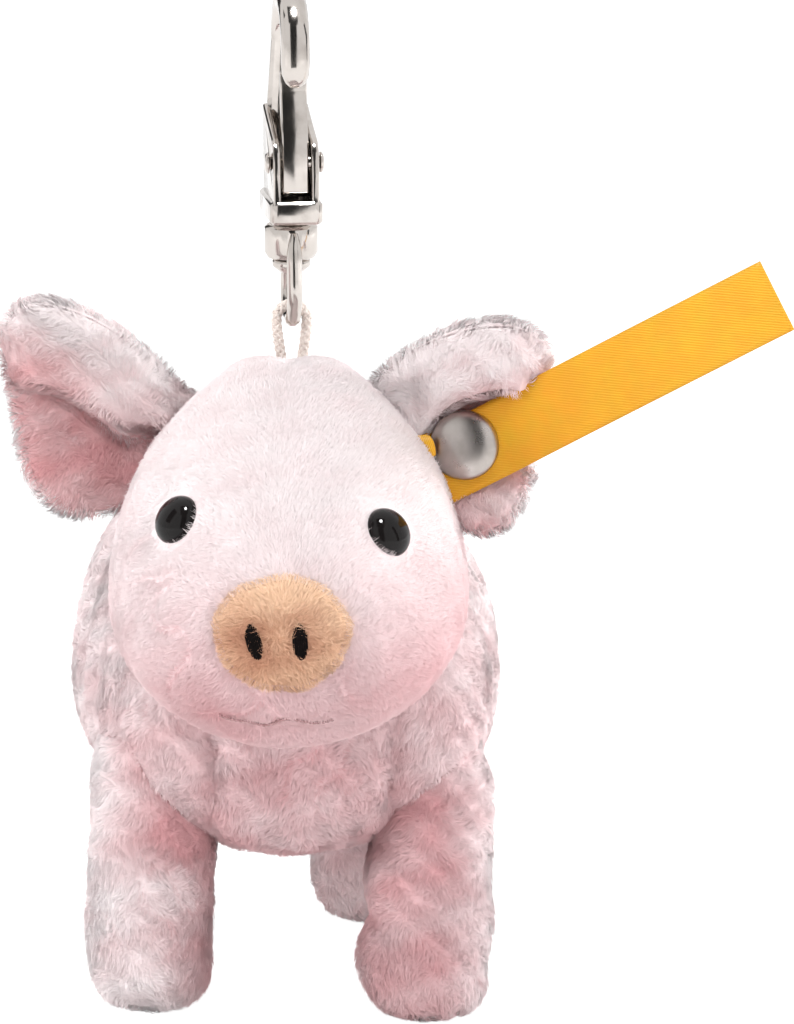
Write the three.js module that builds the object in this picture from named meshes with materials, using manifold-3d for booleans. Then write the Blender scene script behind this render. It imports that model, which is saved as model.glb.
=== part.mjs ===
// Plush pig that hangs from a trigger snap hook by a cord loop and has a ribbon riveted through one ear.
// While it is built the pig stands on z = 0 and faces -y. x = 0 is its centre plane, and x = y = 0 is the
// line that it hangs on. At the end everything is lowered, so that the origin is where the hook hangs.
import * as THREE from "three";
import { mergeVertices } from "three/addons/utils/BufferGeometryUtils.js";
import Module from "manifold-3d";

const wasm = await Module();
wasm.setup();

// Driving dimensions, in millimetres.
const seatGap = 0.3; // between pieces that touch
const overrun = 2; // how far a cutter runs past what it cuts
const weldGap = 1e-4; // points nearer than this are one

// Plush covers and what fills them. The head stands over the body, and its crown's seam is over y = 0.
const coverThickness = 1.5;
const headLength = 59.3;
const headHalfWidth = 21.8;
const headHeight = 43.2;
const headTurnAngle = THREE.MathUtils.degToRad(-8);
const bodyLength = 60;
const bodyHalfWidth = 27.6;
const bodyHeight = 52;
const bodyTurnAngle = THREE.MathUtils.degToRad(-2.2);
const bellyZ = 17.5;
const chestReach = 18; // how far the chest comes forward of the hanging line
const headSeatDepth = 27.2; // from the body's top down to the chin
const neckHoleRadius = 8;

// Legs. Each one runs from a flat sole up into the body.
const legHalfWidth = 8.6;
const leftLegLean = 2.1; // how far a front sole is set inward from the top of its leg
const rightLegLean = 0.4;
const leftLegStep = 4.7; // how far the left front sole is set forward, and the right one backward
const rightLegStep = 3.6;
const hindLegStep = 5; // how far the hind soles are set backward
const frontLegInset = 20.5; // how far its top is above the belly
const hindLegInset = 18.5;
const soleCutDepth = 0.5;
const legCoverThickness = 1.2;

// Ears, two layers of plush each, curled forward like a trough. The left one is sewn on lower and curls more.
const earLayerThickness = 1.3;
const leftEarReach = 18.2;
const rightEarReach = 21.5;
const leftEarCurlRadius = 15.6;
const rightEarCurlRadius = 17.1;
const leftEarDrop = 2.5;
const leftEarSlant = 2.4; // how much further in the upper end of its seam lies than the middle
const earHalfWidth = 15;
const earRise = 2.5;
const earForward = 2.5;
const earLean = 1.4; // how much further out an ear's upper rim reaches than its middle

// Snout, mouth, eyes and tail.
const snoutHalfWidth = 7.9;
const snoutHalfHeight = 6.9;
const snoutDepth = 6;
const snoutProud = 2.5;
const nostrilHalfWidth = 0.75;
const nostrilHalfHeight = 2;
const nostrilHalfDepth = 0.8;
const mouthThreadRadius = 0.4;
const eyeRadius = 3;
const eyeDomeHeight = 2.3;
const eyeShankRadius = 0.8;
const eyeShankLength = 4.4;
const eyeWasherRadius = 2.6;
const eyeWasherThickness = 0.6;
const tailRadius = 1.9;
const tailCurlRadius = 3.8;
const tailReach = 9;

// Ribbon and the button that clinches it.
const ribbonWidth = 9;
const ribbonDrop = 1.1; // the button goes through above the ribbon's middle
const ribbonLength = 41.6;
const ribbonTuck = 4.6;
const ribbonLayerThickness = 0.3;
const ribbonFoldGap = 0.3;
const ribbonBow = 5;
const buttonRadius = 4.2;
const buttonDomeHeight = 1.5;
const buttonShankRadius = 0.9;
const buttonWasherRadius = 2.8;
const buttonWasherThickness = 0.5;
const buttonFlare = 0.4;

// Cord loop, round the eye and into the seam of the crown.
const cordRadius = 0.65;
const rootSinkDepth = 0.18; // how far the loop's root is below the crown
const rootHalfWidth = 0.9;
const loopDrop = 6.9; // from the eye's lowest wire to the loop's root

// Swivel: a rivet through the hook's base and the collar of the eye.
const eyeWireRadius = 0.95;
const eyeHalfDepth = 3.75;
const eyeDrop = 7.8; // from the collar to the middle of the eye's lowest wire
const collarRadius = 3.3;
const collarHeight = 4.1;
const collarStandoff = 0.8; // bare neck between the collar and the hook's base
const cupRadius = 2.6;
const cupDepth = 1.3;
const spigotRadius = 2.2;
const rivetShankRadius = 1.1;
const rivetHeadRadius = 2.35;
const rivetHeadHeight = 1.6;
const peenRadius = 1.8;
const peenThickness = 0.7;

// Snap hook. Its bow, nose, gate and spine lie in the plane x = 0.
const bowInnerRadius = 4;
const barThickness = 3;
const barWidth = 3.5;
const spineWidth = 5.6;
const mouthHeight = 13.9; // from the base to the nose's tip
const noseLength = 4.5;
const baseThickness = 2.8;
const baseWidth = 6.5;
const baseFrontReach = 6.6;
const baseCornerRadius = 1.1;
const edgeRadius = 0.35;
const gateWidth = 3.2;
const gateThickness = 1.5;
const gateOverlap = 1.7; // how far the gate closes behind the nose
const gateTailClear = 0.9;
const gateBarrelWall = 0.525; // round the pin's hole
const cheekThickness = 0.9;
const cheekRise = 6.1; // from the pin to the top of the cheeks
const pinRise = 4.5; // from the base to the pin
const pinForward = 3.7;
const pinRadius = 0.75;
const pinHeadRadius = 1.3;
const pinHeadThickness = 0.5;
const springThickness = 0.3;
const springWidth = 2.6;
const springRise = 3.1; // from the pin to the top of the spring

// Facets.
const coverSides = 24;
const fillingSides = 16;
const legSides = 14;
const roundSides = 20;
const wireSides = 10;
const cordSides = 8;
const threadSides = 6;
const pinSides = 16;
const nostrilSides = 12;
const nostrilBands = 8;

// Places that follow from the sizes: the body carries the legs, head and tail, and the crown the hook.
const chestY = -chestReach;
const chinZ = bellyZ + bodyHeight - headSeatDepth;
const crownSeamShare = 0.848;
const headFrontY = -crownSeamShare * headLength;
const legPlaceShares = {
  frontLeftX: 0.626,
  frontRightX: 0.69,
  frontY: 0.221,
  hindLeftX: 0.51,
  hindRightX: 0.57,
  hindY: 0.717,
};
const frontLeftX = legPlaceShares.frontLeftX * bodyHalfWidth;
const frontRightX = legPlaceShares.frontRightX * bodyHalfWidth;
const frontLegY = chestY + legPlaceShares.frontY * bodyLength;
const frontLegHeight = bellyZ + frontLegInset;
const hindLeftX = legPlaceShares.hindLeftX * bodyHalfWidth;
const hindRightX = legPlaceShares.hindRightX * bodyHalfWidth;
const hindLegY = chestY + legPlaceShares.hindY * bodyLength;
const hindLegHeight = bellyZ + hindLegInset;
const earRootShares = { x: 0.55, y: 0.646, z: 0.838 };
const earRootX = earRootShares.x * headHalfWidth;
const earRootY = headFrontY + earRootShares.y * headLength;
const earRootZ = chinZ + earRootShares.z * headHeight;
const snoutHeightShare = 0.419;
const snoutZ = chinZ + snoutHeightShare * headHeight;
const nostrilPlaceShares = { x: 0.33, drop: 0.13 };
const tailHeightShare = 0.72;
const tailZ = bellyZ + tailHeightShare * bodyHeight;

const plush = new THREE.MeshStandardMaterial({ color: 0xf7dcdc, roughness: 0.95, metalness: 0 });
const plushShade = new THREE.MeshStandardMaterial({ color: 0xe6b9bb, roughness: 0.95, metalness: 0 });
const snoutPlush = new THREE.MeshStandardMaterial({ color: 0xcea38d, roughness: 0.95, metalness: 0 });
const wadding = new THREE.MeshStandardMaterial({ color: 0xf3f1ec, roughness: 1, metalness: 0 });
const blackThread = new THREE.MeshStandardMaterial({ color: 0x211714, roughness: 0.8, metalness: 0 });
const roseThread = new THREE.MeshStandardMaterial({ color: 0xaa8788, roughness: 0.8, metalness: 0 });
const blackGlass = new THREE.MeshStandardMaterial({ color: 0x0b0a0a, roughness: 0.08, metalness: 0 });
const clearPlastic = new THREE.MeshStandardMaterial({ color: 0xe9e7e2, roughness: 0.4, metalness: 0 });
const satinRibbon = new THREE.MeshStandardMaterial({ color: 0xf3a848, roughness: 0.5, metalness: 0 });
const brushedSteel = new THREE.MeshStandardMaterial({ color: 0xa8a29d, roughness: 0.3, metalness: 1 });
const nickel = new THREE.MeshStandardMaterial({ color: 0xb8b1a9, roughness: 0.12, metalness: 1 });
const creamCord = new THREE.MeshStandardMaterial({ color: 0xf4ece9, roughness: 0.9, metalness: 0 });

// Solids and cuts.

// A closed geometry as a solid with its faces out, whichever way its rings ran.
function solid(geometry, matrix) {
  const bare = geometry.clone();
  bare.deleteAttribute("normal");
  bare.deleteAttribute("uv");
  if (matrix) bare.applyMatrix4(matrix);
  const merged = mergeVertices(bare, weldGap);
  const made = solidOfTriangles(merged, false);
  return made.volume() > 0 ? made : solidOfTriangles(merged, true);
}

function solidOfTriangles(merged, turned) {
  const triVerts = new Uint32Array(merged.index.array);
  if (turned) triVerts.reverse();
  const vertProperties = new Float32Array(merged.attributes.position.array);
  return new wasm.Manifold(new wasm.Mesh({ numProp: 3, vertProperties, triVerts }));
}

function meshOf(name, made, material) {
  const data = made.getMesh();
  const geometry = new THREE.BufferGeometry();
  geometry.setAttribute("position", new THREE.BufferAttribute(data.vertProperties, 3));
  geometry.setIndex(new THREE.BufferAttribute(data.triVerts, 1));
  geometry.computeVertexNormals();
  const mesh = new THREE.Mesh(geometry, material);
  mesh.name = name;
  return mesh;
}

// A skin over rings of points, one ring after another, either closed on itself or with a fan over each end.
function skin(rings, closed = false) {
  const count = rings[0].length;
  const points = rings.flat();
  const faces = [];
  const bands = closed ? rings.length : rings.length - 1;
  for (let i = 0; i < bands; i++) {
    const here = i * count;
    const next = ((i + 1) % rings.length) * count;
    for (let j = 0; j < count; j++) {
      const k = (j + 1) % count;
      faces.push(here + j, here + k, next + k, here + j, next + k, next + j);
    }
  }
  if (!closed) {
    for (const [ring, start] of [[rings[0], 0], [rings.at(-1), (rings.length - 1) * count]]) {
      const middle = new THREE.Vector3();
      ring.forEach((p) => middle.addScaledVector(p, 1 / count));
      points.push(middle);
      for (let j = 0; j < count; j++) {
        const k = (j + 1) % count;
        const fan = [start + j, start + k, points.length - 1];
        faces.push(...(start === 0 ? fan.reverse() : fan));
      }
    }
  }
  const geometry = new THREE.BufferGeometry().setFromPoints(points);
  geometry.setIndex(faces);
  return geometry;
}

// Rings of a round section along a curve, thinned by radiusShare(0 to 1).
function wireRings(curve, radius, steps, sides, radiusShare = () => 1, closed = false) {
  const frames = curve.computeFrenetFrames(steps, closed);
  const rings = [];
  for (let i = 0; i < (closed ? steps : steps + 1); i++) {
    const middle = curve.getPointAt(i / steps);
    const r = radius * radiusShare(i / steps);
    const ring = [];
    for (let j = 0; j < sides; j++) {
      const turn = (2 * Math.PI * j) / sides;
      ring.push(
        middle
          .clone()
          .addScaledVector(frames.normals[i], r * Math.cos(turn))
          .addScaledVector(frames.binormals[i], r * Math.sin(turn)),
      );
    }
    rings.push(ring);
  }
  return rings;
}

// Prints how near a tube comes to itself, away from the stretch that each point belongs to.
function reportLeastGap(name, curve, radius, closed) {
  const steps = 80;
  const points = curve.getSpacedPoints(steps);
  const reach = Math.ceil((Math.PI * 2 * radius * steps) / curve.getLength());
  let least = Infinity;
  for (let i = 0; i < steps; i++) {
    for (let j = i + reach; j < steps; j++) {
      if (closed && i + steps - j < reach) continue;
      least = Math.min(least, points[i].distanceTo(points[j]) - 2 * radius);
    }
  }
  console.log(name + " keeps " + least.toFixed(2) + " mm to itself");
}

// A straight reading of a table of rows at a share between the first column's values.
function readTable(table, share) {
  const last = table.length - 1;
  let i = 0;
  while (i < last - 1 && share > table[i + 1][0]) i++;
  const [low, high] = [table[i], table[i + 1]];
  const part = THREE.MathUtils.clamp((share - low[0]) / (high[0] - low[0]), 0, 1);
  return low.map((value, column) => THREE.MathUtils.lerp(value, high[column], part));
}

// An extrusion of a side view, drawn in y and z, across the width x.
function acrossX(shape, width, round) {
  const geometry = new THREE.ExtrudeGeometry(shape, {
    depth: width - 2 * round,
    bevelEnabled: round > 0,
    bevelThickness: round,
    bevelSize: round,
    bevelOffset: -round,
    bevelSegments: 1,
    curveSegments: 6,
  });
  geometry.translate(0, 0, -width / 2 + round);
  const turn = new THREE.Matrix4().makeBasis(
    new THREE.Vector3(0, 1, 0),
    new THREE.Vector3(0, 0, 1),
    new THREE.Vector3(1, 0, 0),
  );
  return geometry.applyMatrix4(turn);
}

// A turned profile of radii and heights, about z.
function turned(profile, sides = roundSides) {
  const points = profile.map(([radius, height]) => new THREE.Vector2(radius, height));
  return new THREE.LatheGeometry(points, sides).rotateX(Math.PI / 2);
}

function rod(radius, length, sides = roundSides) {
  return new THREE.CylinderGeometry(radius, radius, length, sides).rotateX(Math.PI / 2);
}

const alongX = new THREE.Matrix4().makeRotationY(Math.PI / 2);

function at(x, y, z) {
  return new THREE.Matrix4().makeTranslation(x, y, z);
}

// Head and body: egg-shaped sections along y. Each row of a table gives, as shares of the length, the half
// width and the height, where the section stands, how wide it is, its top, its bottom and its widest height.
const headTableShares = [
  [0, 0.33, 0.572, 0.259, 0.414],
  [0.0135, 0.45, 0.6, 0.213, 0.41],
  [0.0725, 0.61, 0.678, 0.123, 0.375],
  [0.157, 0.761, 0.771, 0.049, 0.352],
  [0.258, 0.881, 0.88, 0.012, 0.34],
  [0.376, 0.963, 0.965, 0, 0.34],
  [0.511, 1, 1, 0.007, 0.34],
  [0.646, 0.982, 0.979, 0.039, 0.345],
  [0.781, 0.917, 0.926, 0.097, 0.375],
  [0.882, 0.78, 0.873, 0.19, 0.433],
  [0.966, 0.482, 0.745, 0.317, 0.525],
  [1, 0.18, 0.618, 0.479, 0.549],
];
const bodyTableShares = [
  [0, 0.18, 0.62, 0.3, 0.45],
  [0.023, 0.43, 0.72, 0.19, 0.44],
  [0.077, 0.65, 0.83, 0.115, 0.43],
  [0.169, 0.83, 0.905, 0.06, 0.42],
  [0.292, 0.94, 0.962, 0.02, 0.42],
  [0.446, 0.993, 0.996, 0.004, 0.42],
  [0.6, 1, 1, 0, 0.425],
  [0.738, 0.94, 0.977, 0.023, 0.44],
  [0.846, 0.797, 0.925, 0.1, 0.47],
  [0.93, 0.56, 0.82, 0.225, 0.52],
  [0.977, 0.326, 0.7, 0.355, 0.53],
  [1, 0.12, 0.6, 0.46, 0.53],
];

const headForm = {
  table: headTableShares,
  length: headLength,
  halfWidth: headHalfWidth,
  height: headHeight,
  frontY: headFrontY,
  bottomZ: chinZ,
  turn: new THREE.Matrix4().makeRotationZ(headTurnAngle),
};
const bodyForm = {
  table: bodyTableShares,
  length: bodyLength,
  halfWidth: bodyHalfWidth,
  height: bodyHeight,
  frontY: chestY,
  bottomZ: bellyZ,
  turn: new THREE.Matrix4().makeRotationZ(bodyTurnAngle),
};

// A point on a form, swollen or shrunk by grow. The angle is 0 at its left side, a quarter turn at the top.
function formPoint(form, alongShare, angle, grow = 0) {
  const [share, halfShare, topShare, bottomShare, wideShare] = readTable(form.table, alongShare);
  const wideZ = form.bottomZ + wideShare * form.height;
  const rise = (topShare - wideShare) * form.height + grow;
  const fall = (wideShare - bottomShare) * form.height + grow;
  const half = halfShare * form.halfWidth + grow;
  const y = form.frontY + share * form.length + (share * 2 - 1) * grow;
  const sine = Math.sin(angle);
  const z = wideZ + sine * (sine > 0 ? rise : fall);
  return new THREE.Vector3(half * Math.cos(angle), y, z).applyMatrix4(form.turn);
}

function formSolid(form, grow, sides = coverSides) {
  const rings = form.table.map(([share]) => {
    const ring = [];
    for (let j = 0; j < sides; j++) ring.push(formPoint(form, share, (2 * Math.PI * j) / sides, grow));
    return ring;
  });
  return solid(skin(rings));
}

// The place of a piece on a form: its own z axis stands square to the surface.
function seatOn(form, alongShare, angle) {
  const step = 0.02; // a share along, and radians around
  const middle = formPoint(form, alongShare, angle);
  const onward = formPoint(form, alongShare + step, angle).sub(formPoint(form, alongShare - step, angle));
  const around = formPoint(form, alongShare, angle + step).sub(formPoint(form, alongShare, angle - step));
  const out = new THREE.Vector3().crossVectors(around, onward).normalize();
  if (out.dot(formPoint(form, alongShare, angle, seatGap).sub(middle)) < 0) out.negate();
  const side = onward.normalize();
  const third = new THREE.Vector3().crossVectors(out, side);
  return new THREE.Matrix4().makeBasis(side, third, out).setPosition(middle);
}

// Heights from the crown up: loop, eye, collar, base, pin, nose and bow.
const rootZ = formPoint(headForm, crownSeamShare, Math.PI / 2).z - rootSinkDepth;
const eyeWireZ = rootZ + loopDrop;
const collarBottomZ = eyeWireZ + eyeDrop;
const collarTopZ = collarBottomZ + collarHeight;
const baseBottomZ = collarTopZ + collarStandoff;
const baseTopZ = baseBottomZ + baseThickness;
const pinY = -pinForward;
const pinZ = baseTopZ + pinRise;
const noseTipZ = baseTopZ + mouthHeight;
const bowCentreZ = noseTipZ + noseLength;

const headSpace = formSolid(headForm, seatGap);
const bodySpace = formSolid(bodyForm, seatGap);

// The cord loop's end turns in the crown's seam, so cover and wadding keep clear of it.
const rootReach = cordRadius + rootHalfWidth + seatGap;
const rootSpace = solid(rod(rootReach, 2 * rootReach), at(0, 0, rootZ).multiply(alongX));

// Eyes: a domed bead whose shank goes through the cover and is held by a washer inside.
const leftEyeAlongShare = 0.158;
const rightEyeAlongShare = 0.174;
const leftEyeAngle = THREE.MathUtils.degToRad(40.5);
const rightEyeAngle = THREE.MathUtils.degToRad(41);
const faceCurveShare = 0.36; // radius of the face round an eye, as a share of the head's half width
const washerSag = eyeWasherRadius ** 2 / (2 * faceCurveShare * headHalfWidth);
const washerDrop = coverThickness + washerSag + seatGap;

function eyePlace(side) {
  if (side > 0) return seatOn(headForm, leftEyeAlongShare, leftEyeAngle);
  return seatOn(headForm, rightEyeAlongShare, Math.PI - rightEyeAngle);
}

function eyeBead(side) {
  const steps = 6;
  const profile = [[0, -eyeShankLength], [eyeShankRadius, -eyeShankLength], [eyeShankRadius, seatGap]];
  for (let i = 0; i <= steps; i++) {
    const turn = (i / steps) * (Math.PI / 2);
    profile.push([eyeRadius * Math.cos(turn), seatGap + eyeDomeHeight * Math.sin(turn)]);
  }
  profile[profile.length - 1][0] = 0;
  return solid(turned(profile), eyePlace(side));
}

function eyeWasher(side) {
  const bore = eyeShankRadius + seatGap;
  const bottom = -washerDrop - eyeWasherThickness;
  const profile = [
    [bore, bottom],
    [eyeWasherRadius, bottom],
    [eyeWasherRadius, -washerDrop],
    [bore, -washerDrop],
    [bore, bottom],
  ];
  return solid(turned(profile), eyePlace(side));
}

function eyeHole(side) {
  const length = eyeShankLength + seatGap + overrun;
  const shankPlace = eyePlace(side).multiply(at(0, 0, overrun - length / 2));
  const shank = solid(rod(eyeShankRadius + seatGap, length), shankPlace);
  const pocketHeight = eyeWasherThickness + 2 * seatGap;
  const pocketZ = -washerDrop - eyeWasherThickness / 2;
  const pocketRadius = eyeWasherRadius + seatGap;
  return shank.add(solid(rod(pocketRadius, pocketHeight), eyePlace(side).multiply(at(0, 0, pocketZ))));
}

function headPieces() {
  const holes = eyeHole(1).add(eyeHole(-1)).add(rootSpace);
  const cavity = formSolid(headForm, -coverThickness);
  const cover = formSolid(headForm, 0).subtract(cavity).subtract(bodySpace).subtract(holes);
  const wad = formSolid(headForm, -coverThickness - seatGap, fillingSides);
  const filling = wad.subtract(bodySpace).subtract(holes);
  return [
    meshOf("head_cover", cover, plush),
    meshOf("head_filling", filling, wadding),
    meshOf("eye_left", eyeBead(1), blackGlass),
    meshOf("eye_right", eyeBead(-1), blackGlass),
    meshOf("eye_washer_left", eyeWasher(1), clearPlastic),
    meshOf("eye_washer_right", eyeWasher(-1), clearPlastic),
  ];
}

// Under the head the body's cover is open, where it was turned and filled.
const neckAlongShare = 0.12;

function bodyPieces() {
  const neckPlace = seatOn(bodyForm, neckAlongShare, Math.PI / 2);
  const neckHole = solid(rod(neckHoleRadius, neckHoleRadius), neckPlace);
  const cavity = formSolid(bodyForm, -coverThickness);
  const cover = formSolid(bodyForm, 0).subtract(cavity).subtract(neckHole);
  return [
    meshOf("body_cover", cover, plush),
    meshOf("body_filling", formSolid(bodyForm, -coverThickness - seatGap, fillingSides), wadding),
  ];
}

// Legs: round sections up a leaning axis. Each row is the share of the height and of the half width.
const legTableShares = [
  [0, 0.5],
  [0.03, 0.76],
  [0.1, 0.94],
  [0.22, 1],
  [0.45, 0.96],
  [0.68, 0.94],
  [0.86, 0.84],
  [1, 0.6],
];

function legSolid(leg, grow) {
  const rings = legTableShares.map(([share, halfShare]) => {
    const half = halfShare * legHalfWidth + grow;
    const z = -soleCutDepth + share * leg.height + (share * 2 - 1) * grow;
    const lean = 1 - share;
    const x = leg.topX + leg.lean * lean;
    const y = leg.y + leg.step * lean;
    const ring = [];
    for (let j = 0; j < legSides; j++) {
      const turn = (2 * Math.PI * j) / legSides;
      ring.push(new THREE.Vector3(x + half * Math.cos(turn), y + half * Math.sin(turn), z));
    }
    return ring;
  });
  return solid(skin(rings));
}

const soleSlab = 4 * legHalfWidth;
const underSole = solid(
  new THREE.BoxGeometry(2 * (frontRightX + soleSlab), 2 * (hindLegY + soleSlab), soleSlab),
  at(0, 0, -soleSlab / 2),
);

function legPieces(leg) {
  const outside = legSolid(leg, 0).subtract(underSole);
  const cover = outside.subtract(legSolid(leg, -legCoverThickness)).subtract(bodySpace);
  const filling = legSolid(leg, -legCoverThickness - seatGap).subtract(bodySpace);
  return [
    meshOf(leg.name + "_cover", largest(cover), plush),
    meshOf(leg.name + "_filling", largest(filling), wadding),
  ];
}

// What is left of a cut piece after the chips that the cut leaves on the far side.
function largest(made) {
  return made.decompose().reduce((best, next) => (next.volume() > best.volume() ? next : best));
}

const legs = [
  { name: "front_leg_left", topX: frontLeftX, lean: -leftLegLean, step: -leftLegStep },
  { name: "front_leg_right", topX: -frontRightX, lean: rightLegLean, step: rightLegStep },
].map((leg) => ({ ...leg, y: frontLegY, height: frontLegHeight }));
for (const [name, topX] of [["hind_leg_left", hindLeftX], ["hind_leg_right", -hindRightX]]) {
  legs.push({ name, topX, y: hindLegY, height: hindLegHeight, lean: 0, step: hindLegStep });
}

// Ears: a trough that runs outward from the head. Its half width swells and closes in again at the tip.
const earTableShares = [
  [0, 0.37],
  [0.15, 0.61],
  [0.3, 0.81],
  [0.5, 0.96],
  [0.68, 1],
  [0.82, 0.92],
  [0.93, 0.71],
  [1, 0.38],
];
const earColumns = 8;
const rightEarPinchShare = 0.65; // how much narrower its upper half is at the seam
const earTipShare = 0.6; // how much of the forward sweep comes in the outer half
const leftEar = {
  reach: leftEarReach,
  curlRadius: leftEarCurlRadius,
  drop: leftEarDrop,
  slant: leftEarSlant,
  pinch: 0,
};
const rightEar = {
  reach: rightEarReach,
  curlRadius: rightEarCurlRadius,
  drop: 0,
  slant: 0,
  pinch: rightEarPinchShare,
};

function earPoint(side, outShare, acrossShare, lift = 0) {
  const step = 0.01;
  const middle = earSurface(side, outShare, acrossShare);
  if (lift === 0) return middle;
  const onward = earSurface(side, outShare + step, acrossShare).sub(middle);
  const around = earSurface(side, outShare, acrossShare + step).sub(middle);
  const out = new THREE.Vector3().crossVectors(onward, around).normalize();
  if (out.dot(new THREE.Vector3(0, -1, 0).applyMatrix4(headForm.turn)) < 0) out.negate();
  return middle.addScaledVector(out, lift);
}

function earSurface(side, outShare, acrossShare) {
  const ear = side > 0 ? leftEar : rightEar;
  const [, halfShare] = readTable(earTableShares, outShare);
  const inShare = 1 - outShare;
  const pinch = acrossShare > 0 ? 1 - ear.pinch * inShare ** 2 : 1;
  const angle = (acrossShare * halfShare * pinch * earHalfWidth) / ear.curlRadius;
  const sweep = (1 - earTipShare) * outShare + earTipShare * outShare ** 2;
  const x = earRootX + (ear.reach + earLean * acrossShare) * outShare - ear.slant * acrossShare * inShare;
  const y = earRootY - earForward * sweep - ear.curlRadius * (1 - Math.cos(angle));
  const z = earRootZ - ear.drop + earRise * outShare + ear.curlRadius * Math.sin(angle);
  return new THREE.Vector3(side * x, y, z).applyMatrix4(headForm.turn);
}

// One layer of an ear, between two distances in front of the ear's middle surface.
function earLayerSolid(side, low, high) {
  const rings = [];
  for (const [outShare] of earTableShares) {
    const ring = [];
    for (let j = 0; j <= earColumns; j++) ring.push(earPoint(side, outShare, (2 * j) / earColumns - 1, low));
    for (let j = earColumns; j >= 0; j--) ring.push(earPoint(side, outShare, (2 * j) / earColumns - 1, high));
    rings.push(ring);
  }
  return solid(ribbonSkin(rings, earColumns + 1));
}

// A skin over flat rings that go out along one face and come back along the other, with strips over the ends.
function ribbonSkin(rings, columns) {
  const count = rings[0].length;
  const points = rings.flat();
  const faces = [];
  for (let i = 0; i < rings.length - 1; i++) {
    for (let j = 0; j < count; j++) {
      const k = (j + 1) % count;
      const here = i * count;
      const next = here + count;
      faces.push(here + j, here + k, next + k, here + j, next + k, next + j);
    }
  }
  for (const start of [0, (rings.length - 1) * count]) {
    for (let j = 0; j < columns - 1; j++) {
      const back = count - 1 - j;
      const strip = [start + j, start + j + 1, start + back - 1, start + j, start + back - 1, start + back];
      faces.push(...(start === 0 ? strip.reverse() : strip));
    }
  }
  const geometry = new THREE.BufferGeometry().setFromPoints(points);
  geometry.setIndex(faces);
  return geometry;
}

// Button and ribbon sit on the front of the left ear.
const buttonOutShare = 0.54;
const buttonAcrossShare = -0.195;
const ribbonClimbAngle = THREE.MathUtils.degToRad(27.3);
const stackDrop = earLayerThickness + seatGap / 2; // from an ear's middle surface to its back or front face
const earHollowRadius = leftEarCurlRadius - stackDrop;
const ribbonReach = ribbonWidth / 2 + ribbonDrop;
const ribbonSag = ribbonReach ** 2 / (2 * earHollowRadius); // how far a flat ribbon bridges the trough
const ribbonLift = stackDrop + seatGap + ribbonLayerThickness + ribbonSag;
const ribbonThickness = 2 * ribbonLayerThickness + ribbonFoldGap;

function buttonPlace() {
  const middle = earPoint(1, buttonOutShare, buttonAcrossShare);
  const out = earPoint(1, buttonOutShare, buttonAcrossShare, stackDrop).sub(middle).normalize();
  const along = new THREE.Vector3(Math.cos(ribbonClimbAngle), 0, Math.sin(ribbonClimbAngle));
  along.applyMatrix4(headForm.turn);
  along.addScaledVector(out, -along.dot(out)).normalize();
  const up = new THREE.Vector3().crossVectors(out, along);
  return new THREE.Matrix4().makeBasis(along, up, out).setPosition(middle);
}

// The ribbon's run, as shares of its length and of its bow: flat under the button, then clear of the ear.
const ribbonRunShares = [
  [0, 0],
  [0.1, 0.03],
  [0.2, 0.22],
  [0.32, 0.46],
  [0.48, 0.68],
  [0.68, 0.84],
  [0.86, 0.96],
  [1, 1],
];

function ribbonSolid() {
  const run = [new THREE.Vector2(-ribbonTuck, ribbonLift)];
  for (const [share, bowShare] of ribbonRunShares) {
    run.push(new THREE.Vector2(share * ribbonLength, ribbonLift + bowShare * ribbonBow));
  }
  const curve = new THREE.SplineCurve(run);
  const steps = 12;
  const side = (offset) => {
    const line = [];
    for (let i = 0; i <= steps; i++) {
      const tangent = curve.getTangentAt(i / steps);
      const point = curve.getPointAt(i / steps);
      line.push(new THREE.Vector2(point.x - tangent.y * offset, point.y + tangent.x * offset));
    }
    return line;
  };
  const outline = new THREE.Shape([
    ...side(0),
    ...side(ribbonThickness).reverse(),
    ...side(ribbonThickness - ribbonLayerThickness).slice(0, -1),
    ...side(ribbonLayerThickness).slice(0, -1).reverse(),
  ]);
  const strip = new THREE.ExtrudeGeometry(outline, { depth: ribbonWidth, bevelEnabled: false });
  strip.translate(0, 0, ribbonDrop - ribbonWidth / 2);
  strip.rotateX(Math.PI / 2);
  const hole = rod(buttonShankRadius + seatGap, 4 * ribbonLift);
  return solid(strip, buttonPlace()).subtract(solid(hole, buttonPlace())).subtract(headSpace);
}

const capBase = ribbonLift + ribbonThickness + seatGap;

function buttonSolid() {
  const end = -stackDrop - 2 * seatGap - buttonWasherThickness;
  const profile = [
    [0, end - buttonFlare],
    [buttonShankRadius + buttonFlare, end - buttonFlare],
    [buttonShankRadius + buttonFlare, end],
    [buttonShankRadius, end],
    [buttonShankRadius, capBase],
  ];
  const steps = 6;
  for (let i = 0; i <= steps; i++) {
    const turn = (i / steps) * (Math.PI / 2);
    profile.push([buttonRadius * Math.cos(turn), capBase + buttonDomeHeight * Math.sin(turn)]);
  }
  profile[profile.length - 1][0] = 0;
  return solid(turned(profile, coverSides), buttonPlace());
}

function buttonWasher() {
  const top = -stackDrop - seatGap;
  const bore = buttonShankRadius + seatGap;
  const profile = [
    [bore, top - buttonWasherThickness],
    [buttonWasherRadius, top - buttonWasherThickness],
    [buttonWasherRadius, top],
    [bore, top],
    [bore, top - buttonWasherThickness],
  ];
  return solid(turned(profile), buttonPlace());
}

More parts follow.
